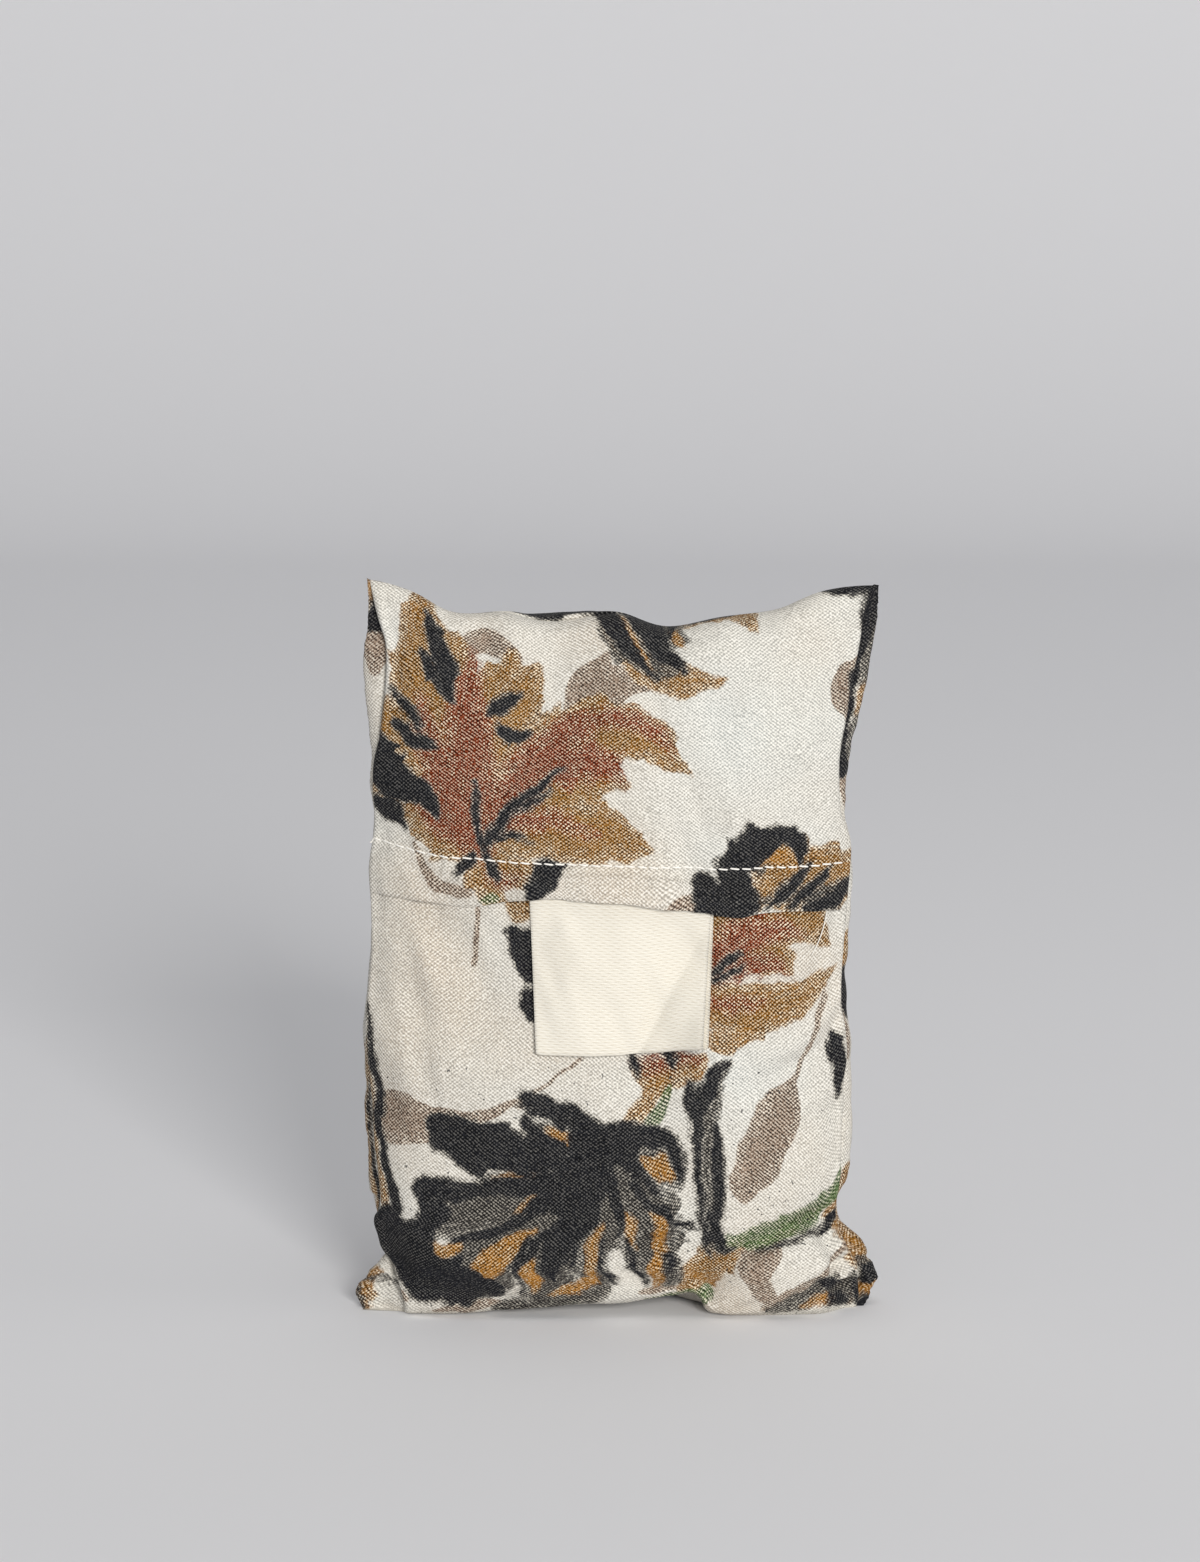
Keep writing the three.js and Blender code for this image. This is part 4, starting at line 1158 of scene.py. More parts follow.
class BuildPouch(bpy.types.Operator):
    """Build the filled pouch from its lower front, base and back"""

    bl_idname = "shopping_bag.build_pouch"
    bl_label = "Pouch"

    def execute(self, context):
        pouch = Pouch(settle=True)
        Made.pouch = pouch
        Made.surface = Surface(pouch.front)
        front, back = with_sole(pouch.front, pouch.back), with_sole(pouch.back, pouch.front)
        front_cloth = with_sole_places(pouch.front_cloth, -1)
        back_cloth = with_sole_places(pouch.back_cloth, 1)
        front_cover = print_cover("front", front_cloth[..., 0], front_cloth[..., 1])
        flap_cover = print_cover("flap", front_cloth[..., 0], front_cloth[..., 1])
        back_cover = print_cover("flap", back_cloth[..., 0], back_cloth[..., 1])
        under_flap = front[..., 2] > smooth(HEM, "across", "edge", front[..., 0]) + UNDER_FLAP
        attributes = {}
        for name, values in front_cover.items():
            attributes[name] = (np.where(under_flap, flap_cover[name], values), back_cover[name])
        attributes["warmth"] = (warmth(front_cloth), warmth(back_cloth))
        attributes["even"] = (evenness(front, front_cloth), evenness(back, back_cloth))
        specks = np.where(front[..., 2] < SPECKS_TOP, 1.0, 0.0)
        attributes["specks"] = (specks, np.full(back.shape[:2], SPECKS_BEHIND))
        piece = closed_mesh("pouch_cloth", front, back, attributes, (front_cloth, back_cloth))
        piece.data.materials.append(cloth_material(context.scene.shopping_bag_print))
        finish_piece(piece, "pouch")
        return {"FINISHED"}


# The flap's rows over the hem, from there to the top fold, and past it on the back. Its edge is laid out
# along the front's columns at the hem's level.
FLAP_HEM_ROWS = 36
FLAP_ROWS = 76
OVER_ROWS = 8
HEM_LEVEL = 95

# The hem ends this far over its stitches, in a short bend. Its turned-up edge makes the cloth thicker.
HEM_ABOVE = 4
HEM_BEND = 0.35
HEM_ROUNDING = 0.5
HEM_EXTRA = 0.36
HEM_TURN = 0.7
CLOTH_THICK = 0.34
LEAST_THICK = 0.15

# How far the flap lies off the pouch, how its standing edge fades out upwards and waves, and how it ends at
# its sides, where its inner face sinks in
FLAP_GAP = 0.15
STAND_FADE = 4.2
STAND_WAVES = (0.35, 9, 26)
LEAST_STAND = 0.05
SIDE_FADE = 2.4
SIDE_SUNK = 0.3

# The bump over the tucked label, and how far it fades out above it and beside it
LABEL_BUMP = 1.25
BUMP_ABOVE = 3.4
BUMP_BESIDE = 3

# Along the stitches run a groove and a row of dents, each with a depth and a width. The puckers and the
# hem's waves have a height and a shortest and a longest length.
GROOVE = (-0.26, 0.9)
DENTS = (-0.1, 0.8)
HEM_PUCKERS = (0.16, 2.2, 7)
HEM_PUCKER_REACH = 3.4
HEM_WAVES = (0.22, 8, 30)


def along_columns(grid, heights, wanted):
    """Each column of a grid, read off at its own wanted heights."""
    i = np.clip(np.searchsorted(heights, wanted) - 1, 0, len(heights) - 2)
    share = (wanted - heights[i]) / (heights[i + 1] - heights[i])
    column = np.arange(grid.shape[0])[:, None]
    share = share[..., None]
    return (1 - share) * grid[column, i] + share * grid[column, i + 1]


class BuildFlap(bpy.types.Operator):
    """Build the flap over the front, from its stitched hem to the top fold"""

    bl_idname = "shopping_bag.build_flap"
    bl_label = "Flap"

    def execute(self, context):
        sizes = context.scene.shopping_bag_sizes
        pouch = Made.pouch
        edge_x = pouch.front[:, int(np.argmin(np.abs(pouch.heights - HEM_LEVEL))), 0]
        edge = smooth(HEM, "across", "edge", edge_x)[:, None]
        stitches = smooth(HEM, "across", "stitches", edge_x)[:, None]
        hem_top = stitches + HEM_ABOVE
        near = edge + (hem_top - edge) * np.linspace(0, 1, FLAP_HEM_ROWS + 1)
        far = hem_top + (POUCH_HEIGHT - hem_top) * np.sin(math.pi / 2 * np.linspace(0, 1, FLAP_ROWS + 1))[1:]
        wanted = np.concatenate([near, far], 1)
        base = along_columns(pouch.front, pouch.heights, wanted)
        cloth = along_columns(pouch.front_cloth, pouch.heights, wanted)
        over_heights = pouch.heights[-1 : -1 - OVER_ROWS : -1]
        flap_over = POUCH_HEIGHT - over_heights[-1]
        over_wanted = np.broadcast_to(over_heights, (COLUMNS + 1, OVER_ROWS))
        over = along_columns(pouch.back, pouch.heights, over_wanted)
        over_cloth = along_columns(pouch.back_cloth, pouch.heights, over_wanted)
        base, cloth = np.concatenate([base, over], 1), np.concatenate([cloth, over_cloth], 1)
        facing = outward(base)
        above = np.concatenate([wanted - edge, 2 * POUCH_HEIGHT - over_wanted - edge], 1)
        x, z = base[..., 0], base[..., 2]
        to_stitch = above - (stitches - edge)
        hem = 1 / (1 + np.exp(to_stitch / HEM_BEND))
        side = 1 - hump(np.minimum(run_length(base, 0, 0), -run_length(base, 0, COLUMNS)), SIDE_FADE)
        top = np.clip((POUCH_HEIGHT - edge - above + flap_over) / (2 * flap_over), 0, 1)
        spread = side * np.clip(top * 1.6, 0.5, 1)

        high, *lengths = STAND_WAVES
        stand = smooth(HEM, "across", "stand", x) * np.exp(-above / STAND_FADE)
        stand = np.maximum(stand * (1 + high * ripple(x, z * 0, 31, *lengths)), LEAST_STAND)
        tucked = np.clip((LABEL_TUCK_DEPTH + BUMP_ABOVE - above) / 2 + 1, 0, 1)
        off_label = np.abs(x - pouch.shift[0] - LABEL_CENTRE) - sizes.label_width / 2 / MM
        bump = LABEL_BUMP * tucked * hump(np.maximum(off_label, 0), BUMP_BESIDE)
        under = FLAP_GAP + (stand + bump) * side

        high, *lengths = HEM_PUCKERS
        puckers = high * ripple(x, z * 0.25, 32, *lengths) * hump(to_stitch, HEM_PUCKER_REACH)
        high, *lengths = HEM_WAVES
        waves = high * ripple(x, z, 33, *lengths) * hem
        in_step = 1 + np.cos(2 * math.pi * x / (sizes.stitch_pitch / MM))
        dents = DENTS[0] * in_step * hump(to_stitch, DENTS[1])
        groove = GROOVE[0] * hump(to_stitch, GROOVE[1])
        turned = HEM_EXTRA * hem * (1 - np.exp(-above / HEM_TURN))
        thick = CLOTH_THICK + (turned + groove + puckers + waves + dents) * side
        rim = np.sqrt(np.clip(1 - (1 - np.minimum(above / HEM_ROUNDING, 1)) ** 2, 0, 1))
        outer = (under + np.maximum(thick, LEAST_THICK) * rim) * spread
        inner = under * spread - (1 - spread) * SIDE_SUNK
        outer_grid, inner_grid = (base + off[..., None] * facing for off in (outer, inner))
        Made.flap_outer = outer_grid

        marks = print_cover("flap", cloth[..., 0], cloth[..., 1])
        marks |= {"warmth": warmth(cloth), "even": evenness(base, cloth), "specks": np.zeros(x.shape)}
        attributes = {name: (values, values) for name, values in marks.items()}
        piece = closed_mesh("flap_cloth", outer_grid, inner_grid, attributes, (cloth, cloth))
        piece.data.materials.append(bpy.data.materials["printed cloth"])
        finish_piece(piece, "flap")
        return {"FINISHED"}


# The label's grid, half the depth of its fold, and how its thickness ends at its sides
LABEL_COLUMNS = 56
LABEL_ROWS = 54
FOLD_ROWS = 8
HALF_FOLD = 0.5
LABEL_EDGE_POWER = 16

# The label tapers downwards, slopes to the right and hangs off the pouch, with a gap at least.
LABEL_TAPER_LEFT = 1.4
LABEL_TAPER_RIGHT = 2.2
LABEL_SLOPE = 0.012
LABEL_HANG = 0.8
LABEL_GAP = 0.3
LABEL_WAVES = (0.10, 9, 30)
LABEL_BOW = 0.25

# Its lower right corner curls out along a slanting crease. The crease's place and width are shares of half
# the label's width, and its middle is a share of the label's drop.
LABEL_CURL = 5.0
LABEL_CURL_REACH = 0.62
LABEL_CURL_SLANT = 0.9
LABEL_CURL_MIDDLE = 0.55
LABEL_CURL_POWER = 1.15
LABEL_CURL_LIFT = 0.4
LABEL_CREASE = 0.7
LABEL_CREASE_WIDTH = 0.09

# Each layer's shift to the right, its shares of the curl and the waves, and how far it stands off the other
# one, at the tucked end and in addition at the fold
LABEL_LAYERS = {
    "front": {"shift": 0, "curl": 1, "waves": 1, "off": 0.45, "off_fold": 0.25},
    "back": {"shift": 1.3, "curl": 0.82, "waves": 0.8, "off": 0, "off_fold": 0},
}


class BuildLabel(bpy.types.Operator):
    """Build the bare label from a folded length of tape"""

    bl_idname = "shopping_bag.build_label"
    bl_label = "Label"

    def execute(self, context):
        sizes = context.scene.shopping_bag_sizes
        pouch, surface = Made.pouch, Made.surface
        width, drop = sizes.label_width / MM, sizes.label_drop / MM
        edge = smooth(HEM, "across", "edge", np.array([LABEL_CENTRE]))[0] + LABEL_GAP

        def layer(name, share):
            """Points of one layer of the tape. share runs from 0 at the fold up to 1 at the tucked end."""
            own = LABEL_LAYERS[name]
            z = edge - drop + HALF_FOLD + share * (drop + LABEL_TUCK_DEPTH - HALF_FOLD)
            shown = np.clip((edge - z) / drop, 0, 1)
            across = np.linspace(-1, 1, LABEL_COLUMNS + 1)[:, None]
            taper = np.where(across < 0, LABEL_TAPER_LEFT, LABEL_TAPER_RIGHT) * shown
            x = LABEL_CENTRE + across * (width / 2 - taper) + pouch.shift[0]
            x = x + own["shift"] * (0.4 + 0.6 * shown)
            z = z - LABEL_SLOPE * (x - LABEL_CENTRE) + LABEL_BOW * np.sin(1.4 * across + 0.6) * shown
            past = across - LABEL_CURL_REACH + LABEL_CURL_SLANT * (shown - LABEL_CURL_MIDDLE)
            curl = LABEL_CURL * (np.clip(past, 0, None) / LABEL_CURL_REACH) ** LABEL_CURL_POWER
            high, *lengths = LABEL_WAVES
            waves = high * ripple(x, z, 41, *lengths) + LABEL_BOW * np.cos(2.6 * across + 1.2) * shown
            out = LABEL_GAP + LABEL_HANG * shown**2 + curl * own["curl"] + waves * own["waves"]
            trough = LABEL_CREASE * hump(past, LABEL_CREASE_WIDTH) * shown
            out = np.maximum(out - trough, LABEL_GAP) + own["off"] + own["off_fold"] * shown
            z = z + LABEL_CURL_LIFT * curl
            return np.stack([x, surface.depth_at(x, z) - out, z], -1)

        up = np.linspace(0, 1, LABEL_ROWS + 1)[None]
        front, back = layer("front", up), layer("back", up)
        turn = np.linspace(0, math.pi, FOLD_ROWS + 2)[1:-1][None, :, None]
        low_front, low_back = front[:, :1], back[:, :1]
        middle, radius = (low_front + low_back) / 2, (low_front - low_back) / 2
        depth = np.linalg.norm(radius, axis=-1, keepdims=True)
        fold = middle + radius * np.cos(turn) - np.array([0, 0, 1]) * np.sin(turn) * depth
        loop = np.concatenate([front[:, ::-1], fold, back], 1)
        edge_round = np.sqrt(1 - np.linspace(-1, 1, LABEL_COLUMNS + 1) ** LABEL_EDGE_POWER)[:, None, None]
        off = -outward(loop) * (sizes.label_thickness / MM / 2) * edge_round
        outer, inner = (loop + off)[:, ::-1], (loop - off)[:, ::-1]
        cloth = np.stack([run_length(loop, 0, LABEL_COLUMNS // 2), run_length(loop, 1, 0)], -1)[:, ::-1]
        piece = closed_mesh("label_tape", inner, outer, {}, (cloth, cloth))
        piece.data.materials.append(tape_material())
        finish_piece(piece, "label")
        return {"FINISHED"}


def tube(path, radius, sides=8):
    """The points and faces of a rounded tube along a path, in millimetres."""
    path = np.asarray(path, float)
    steps = np.gradient(path, axis=0)
    steps /= np.linalg.norm(steps, axis=1, keepdims=True)
    side = np.cross(steps, [0.0, 1.0, 0.0])
    side /= np.maximum(np.linalg.norm(side, axis=1, keepdims=True), 1e-9)
    out = np.cross(steps, side)
    turn = np.linspace(0, 2 * math.pi, sides, endpoint=False)
    at = np.linspace(-1, 1, len(path))
    thick = radius * np.sqrt(np.maximum(1 - np.abs(at) ** 8, 0.04))
    ring = np.cos(turn)[None, :, None] * side[:, None] + np.sin(turn)[None, :, None] * out[:, None]
    points = path[:, None] + ring * thick[:, None, None]
    faces = []
    for i in range(len(path) - 1):
        for k in range(sides):
            j = (k + 1) % sides
            faces.append((i * sides + k, i * sides + j, (i + 1) * sides + j, (i + 1) * sides + k))
    faces.append(tuple(range(sides))[::-1])
    faces.append(tuple((len(path) - 1) * sides + k for k in range(sides)))
    return points.reshape(-1, 3), faces


# A stitch stands up from the hem and sinks in at its ends. It leans, and slips and lifts a little at random.
STITCH_POINTS = 9
STITCH_RISE = 0.10
STITCH_SINK = 0.30
STITCH_LEAN = 0.22
STITCH_SLIP = 0.12
STITCH_LIFT = 0.08

# How much of the cloth's tilt shows at the hem, and the loose end of thread under the hem
HEM_TILT = 0.94
LOOSE_END = {"x0": 47.4, "z0": 93.2, "x1": 46.2, "z1": 86.5, "x2": 43.6, "z2": 82.4}
LOOSE_POINTS = 16
LOOSE_OFF = 0.25
LOOSE_BOW = 0.5
LOOSE_RADIUS = 0.11


class BuildStitches(bpy.types.Operator):
    """Build the hem's stitches and the loose end of thread"""

    bl_idname = "shopping_bag.build_stitches"
    bl_label = "Hem stitches"

    def execute(self, context):
        sizes = context.scene.shopping_bag_sizes
        surface = Surface(Made.flap_outer)
        rng = np.random.default_rng(8)
        points, faces, count = [], [], 0
        pitch, length = sizes.stitch_pitch / MM, sizes.stitch_length / MM
        first, last = Made.flap_outer[3, 0, 0], Made.flap_outer[-4, 0, 0]

        def add(path, radius):
            """Adds a tube along a path to the thread."""
            nonlocal count
            made, sides = tube(path, radius)
            points.append(made)
            faces.extend(tuple(count + k for k in face) for face in sides)
            count += len(made)

        for start in np.arange(first, last - length, pitch):
            at = np.linspace(0, 1, STITCH_POINTS)
            x = start + at * length + rng.uniform(-STITCH_SLIP, STITCH_SLIP)
            level = smooth(HEM, "across", "stitches", x) + CLOTH_TILT * x * HEM_TILT
            z = level - STITCH_LEAN * (at - 0.5) + rng.uniform(-STITCH_LIFT, STITCH_LIFT)
            y = surface.depth_at(x, z) - STITCH_RISE + STITCH_SINK * np.abs(2 * at - 1) ** 3
            add(np.stack([x, y, z], -1), sizes.thread_width / MM / 2)
        x, z = bent_path(LOOSE_END, LOOSE_POINTS).T
        bow = LOOSE_BOW * np.sin(math.pi * np.linspace(0, 1, len(x)))
        add(np.stack([x, Made.surface.depth_at(x, z) - LOOSE_OFF - bow, z], -1), LOOSE_RADIUS)
        mesh = bpy.data.meshes.new("hem_stitches")
        mesh.from_pydata((np.concatenate(points) * MM).tolist(), [], faces)
        mesh.shade_smooth()
        piece = bpy.data.objects.new("hem_stitches", mesh)
        context.scene.collection.objects.link(piece)
        piece.data.materials.append(thread_material())
        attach(piece, "root")
        return {"FINISHED"}


def linear(red, green, blue):
    """A colour for the shaders from its parts on the usual scale of 255."""
    parts = [part / 255 for part in (red, green, blue)]
    return tuple(p / 12.92 if p <= 0.04045 else ((p + 0.055) / 1.055) ** 2.4 for p in parts)


class Value:
    """A shader socket. Arithmetic on it adds Math nodes to its tree."""

    def __init__(self, tree, socket=None):
        self.tree = tree
        self.socket = socket

    def node(self, kind, settings=None, inputs=None, output=0):
        """Adds a node, sets it up, fills or links its sockets and returns one of its outputs."""
        node = self.tree.nodes.new(kind)
        for key, value in (settings or {}).items():
            setattr(node, key, value)
        for key, value in (inputs or {}).items():
            if isinstance(value, Value):
                self.tree.links.new(value.socket, node.inputs[key])
            else:
                node.inputs[key].default_value = value
        return Value(self.tree, node.outputs[output])

    def math(self, operation, *values, clamp=False):
        """A Math node on values and numbers."""
        settings = {"operation": operation, "use_clamp": clamp}
        return self.node("ShaderNodeMath", settings, dict(enumerate(values)))

    def __add__(self, other):
        return self.math("ADD", self, other)

    def __radd__(self, other):
        return self.math("ADD", other, self)

    def __sub__(self, other):
        return self.math("SUBTRACT", self, other)

    def __rsub__(self, other):
        return self.math("SUBTRACT", other, self)

    def __mul__(self, other):
        return self.math("MULTIPLY", self, other)

    def __rmul__(self, other):
        return self.math("MULTIPLY", other, self)

    def value(self, number):
        """A plain number as a value."""
        return self.node("ShaderNodeMath", {"operation": "ADD"}, {0: number, 1: 0.0})

    def cosine(self):
        """The cosine of the value."""
        return self.math("COSINE", self)

    def clamped(self):
        """The value held between 0 and 1."""
        return self.math("ADD", self, 0.0, clamp=True)

    def ramp(self, low, high):
        """A smooth step from 0 at low to 1 at high."""
        settings = {"interpolation_type": "SMOOTHSTEP"}
        return self.node("ShaderNodeMapRange", settings, {0: self, 1: low, 2: high, 3: 0.0, 4: 1.0})

    def noise(self, scale, detail=2.0, place=None):
        """Noise of about a unit of height round 0, over a place or over the coordinates in this value."""
        inputs = {"Vector": place or self, "Scale": scale, "Detail": detail, "Roughness": 0.55}
        return (self.node("ShaderNodeTexNoise", None, inputs) - 0.5) * 2.0

    def mixed(self, factor, first, second):
        """Two colours mixed."""
        settings = {"data_type": "RGBA"}
        colours = [c if isinstance(c, Value) else (*c, 1.0) for c in (first, second)]
        return self.node("ShaderNodeMix", settings, {0: factor, 6: colours[0], 7: colours[1]}, 2)

    def attribute(self, name):
        """A number that the mesh carries."""
        return self.node("ShaderNodeAttribute", {"attribute_name": name}, None, 2)


def new_material(name, roughness, sheen=0.0):
    """A material, its main shader and a value to build its nodes on."""
    material = bpy.data.materials.new(name)
    material.use_nodes = True
    shader = material.node_tree.nodes["Principled BSDF"]
    shader.inputs["Roughness"].default_value = roughness
    shader.inputs["Sheen Weight"].default_value = sheen
    shader.inputs["Sheen Roughness"].default_value = 0.4
    shader.inputs["Specular IOR Level"].default_value = 0.12
    return material, shader, Value(material.node_tree)


def cloth_map(start):
    """The map of a cloth in millimetres."""
    places = start.node("ShaderNodeUVMap", {"uv_map": "cloth"})
    return start.node("ShaderNodeVectorMath", {"operation": "SCALE"}, {0: places, "Scale": 1 / MM})


def across_and_up(start, places):
    """The first two numbers of a vector."""
    return [start.node("ShaderNodeSeparateXYZ", None, {0: places}, part) for part in (0, 1)]


def finish_cloth(material, shader, colour, height, strength):
    """Links a cloth's colour and its bumps to its main shader."""
    material.node_tree.links.new(colour.socket, shader.inputs["Base Color"])
    inputs = {"Strength": strength, "Distance": BUMP_DEPTH, "Height": height}
    material.node_tree.links.new(height.node("ShaderNodeBump", None, inputs).socket, shader.inputs["Normal"])
    return material


BUMP_DEPTH = 0.12 * MM

# The distances of the weave's threads, and the direction of the slubs that lie slanting over them
WARP_PITCH = 0.54
WEFT_PITCH = 0.41
SLANT_ACROSS = 0.83
SLANT_UP = 0.56

# The cloth's colours: cool and warm cream, which the patches also use as painted light and painted shade,
# its general tone, threads that catch the light on bare and on printed cloth, and specks
COOL_CREAM = (216, 217, 211)
WARM_CREAM = (210, 199, 183)
CLOTH_TONE = (232, 226, 214)
BARE_THREAD = (246, 243, 235)
PRINTED_THREAD = (248, 234, 203)
SPECK = (38, 38, 42)

# How a paint meets the cloth: how soft and how rough its edge is in millimetres, how fully it covers, how
# dry it is, how much of the thread glints through it and how warmly, and how much the brush's hairs mark it
PAINT_COLUMNS = "paint softness roughness load dryness glint warm hairs"
PAINT_NUMBERS = PAINT_COLUMNS.split()[1:]
PAINT_MANNERS = table(
    PAINT_COLUMNS,
    ("taupe", 0.3, 0.5, 0.6, 0.3, 0.95, 0.4, 0.3),
    ("ochre", 0.5, 1.2, 0.58, 0.5, 1.1, 0.8, 0.9),
    ("rust", 1.6, 2.6, 0.58, 0.6, 1.0, 0.8, 1.2),
    ("green", 0.5, 1.2, 0.6, 0.5, 0.9, 0.5, 0.7),
    ("wash", 0.6, 1.5, 0.68, 0.7, 0.8, 0.4, 1.2),
    ("gold", 0.7, 1.4, 0.68, 0.5, 0.9, 0.9, 1.0),
    ("charcoal", 0.45, 1.2, 0.97, 0.7, 0.6, 0.2, 0.9),
)


def cloth_material(paints):
    """Cream plain-weave cloth with a painterly print, from the paints' cover on the mesh."""
    material, shader, start = new_material("printed cloth", 0.8, 0.03)
    places = cloth_map(start)
    wobble = start.node("ShaderNodeTexNoise", None, {"Vector": places, "Scale": 0.12, "Detail": 1.0}, 1)
    wobble = start.node("ShaderNodeVectorMath", {"operation": "SCALE"}, {0: wobble, "Scale": 0.8})
    woven = start.node("ShaderNodeVectorMath", {"operation": "ADD"}, {0: places, 1: wobble})
    u, v = across_and_up(start, woven)

    def marks(across, up, detail=2.0):
        """Noise over two numbers."""
        return start.noise(1.0, detail, start.node("ShaderNodeCombineXYZ", None, {0: across, 1: up}))

    # The grain falls to the right or, in places, rises to the right
    across, up = u * (math.pi / WARP_PITCH), v * (math.pi / WEFT_PITCH)
    lean = (start.noise(0.035, 1.0, woven) * 1.2 + 0.35).clamped()
    falling, rising = (across + up).cosine(), (across - up).cosine()
    weave = (falling * (0.7 - 0.4 * lean) + rising * (0.3 + 0.4 * lean)) * start.attribute("even")
    u_across, u_up, v_across, v_up = u * SLANT_ACROSS, u * SLANT_UP, v * SLANT_ACROSS, v * SLANT_UP
    falling_slubs = marks((u_across - v_up) * 0.45, (u_up + v_across) * 1.7)
    rising_slubs = marks((u_across + v_up) * 0.45, (u_up - v_across) * 1.7)
    slubs = falling_slubs * (1.0 - lean) + rising_slubs * lean
    warp, weft = marks(u * 1.8, v * 0.06), marks(u * 0.06, v * 2.4)
    coarse = start.noise(0.25, 2.0, woven)
    blotch = start.noise(0.06, 2.0, woven)
    edge_noise = start.noise(0.7, 3.0, woven)
    dry = marks(u * 0.5, v * 1.1, 3.0)
    hair = marks(start.attribute("hair_across") * 1.3, start.attribute("hair_along") * 0.16, 3.0)
    knots = start.noise(2.4, 1.0, woven)
    yarns = weave * 0.85 + knots * 1.5 + warp * 0.15 + weft * 0.15 + slubs * 0.5
    dots = yarns.ramp(0.15, 0.7)
    gaps = yarns.ramp(0.05, -0.7)

    # The cream mixes random tone with the patches' painted shade, warm and darker, and painted light, cool
    # and paler
    cream = (start.attribute("warmth") * 0.5 + 0.5 + blotch * 0.25).clamped()
    colour = start.mixed(cream, linear(*COOL_CREAM), linear(*WARM_CREAM))
    bare, printed, glow = start.value(0.8), start.value(0.0), start.value(0.0)
    for manner in rows_of(PAINT_MANNERS):
        paint = getattr(paints, manner["paint"])
        numbers = [float(manner[key]) for key in PAINT_NUMBERS]
        soft, rough, load, dryness, glint, warm, hairs = numbers
        cover = start.attribute(manner["paint"]) + (edge_noise * 0.7 + hair * 0.5) * rough
        mask = cover.ramp(-soft, soft)
        loaded = load + cover * 0.12 + dry * 0.35 + coarse * 0.3 + hair * (0.6 * hairs)
        thin = (1.0 - loaded).clamped()
        shade = (0.5 + 0.3 * coarse + 0.25 * blotch + hair * (0.4 * hairs)).clamped()
        dark = tuple(part * 0.5 for part in paint)
        light = tuple(min(part * 1.5 + 0.004, 1) for part in paint)
        colour = start.mixed(mask * (1.0 - thin * (0.8 * dryness)), colour, start.mixed(shade, dark, light))
        bare = bare + mask * ((0.95 - load * 0.8 + thin * 1.2).clamped() * glint - bare)
        glow = glow + mask * (warm - glow)
        printed = printed.math("MAXIMUM", printed, mask)
    # Painted shade darkens the gaps between the yarns. The dots are bare thread tops, lightened further by a
    # painted highlight where the thread glints.
    shadow = start.node("ShaderNodeVectorMath", {"operation": "SCALE"}, {0: colour, "Scale": 0.1})
    colour = start.mixed(gaps * (0.48 + 0.52 * printed), colour, shadow)
    thread = start.mixed(glow, linear(*BARE_THREAD), linear(*PRINTED_THREAD))
    colour = start.mixed(dots * bare, colour, thread)
    clusters = (start.noise(0.05, 1.0, woven) * 0.5).clamped()
    specks = start.attribute("specks") * (start.noise(0.85, 1.0, woven) + 0.25 * clusters).ramp(0.46, 0.52)
    colour = start.mixed(specks * 0.85, colour, linear(*SPECK))
    shader.inputs["Base Color"].default_value = (*linear(*CLOTH_TONE), 1)
    height = weave * 0.5 + slubs * 0.3 + warp * 0.2 + weft * 0.2 + coarse * 0.4
    return finish_cloth(material, shader, colour, height, 0.45)


# The distance of the tape's ribs, its two creams, and the radians a millimetre of the dashes on its ribs
TAPE_RIB = 0.62
TAPE_DARK = (217, 209, 192)
TAPE_LIGHT = (242, 238, 227)
DASH_ACROSS = 2.6
DASH_UP = 4.2


def tape_material():
    """Cream twill tape with slightly slanting ribs."""
    material, shader, start = new_material("twill tape", 0.8, 0.3)
    places = cloth_map(start)
    u, v = across_and_up(start, places)
    rib = ((v + u * 0.02) * (2 * math.pi / TAPE_RIB)).cosine()
    dash = (u * DASH_ACROSS + v * DASH_UP).cosine()
    grain = start.noise(1.4, 3.0, places)
    soft = start.noise(0.08, 2.0, places)
    tone = (0.55 + rib * 0.22 + dash * rib * 0.3 + grain * 0.22 + soft * 0.15).clamped()
    colour = start.mixed(tone, linear(*TAPE_DARK), linear(*TAPE_LIGHT))
    height = rib * 0.5 + dash * rib * 0.3 + grain * 0.3
    return finish_cloth(material, shader, colour, height, 0.5)


THREAD_WHITE = (246, 243, 236)


def thread_material():
    """White sewing thread."""
    material, shader, _ = new_material("white thread", 0.55, 0.2)
    shader.inputs["Base Color"].default_value = (*linear(*THREAD_WHITE), 1)
    return material


# The stage, in metres, degrees and watts. The backdrop is a floor that bends up into a wall.
PAPER = (236, 236, 238)
ROOM_COLOUR = (246, 248, 252)
HALF_BACKDROP = 2.6
BACKDROP_FRONT = -2.4
BACKDROP_WALL = 2.4
BACKDROP_TOP = 2.8
BACKDROP_BEND = 0.7
BEND_STEPS = 16
CAMERA_PLACE = (-0.0039, -0.9236, 0.2628)
CAMERA_DOWN = 8.7
CAMERA_LENS = 95.6
ROOM_LIGHT = 0.3
LIGHTS = {
    "name": ["front softbox", "low softbox", "overhead", "right side"],
    "place": [(1.26, -4.6, 1.58), (1.6, -4.4, 1.1), (0.1, -0.6, 2.6), (2.0, -0.4, 1.1)],
    "aim": [(0, 0, 0.08), (0, 0, 0.08), (0, 0.3, 0), (0, 0.4, 0.2)],
    "wide": [1.3, 1.3, 1.6, 1.0],
    "tall": [1.3, 1.3, 1.2, 1.0],
    "watts": [156.0, 26.0, 9.7, 3.0],
    "colour": [(255, 253, 250)] * 4,
}


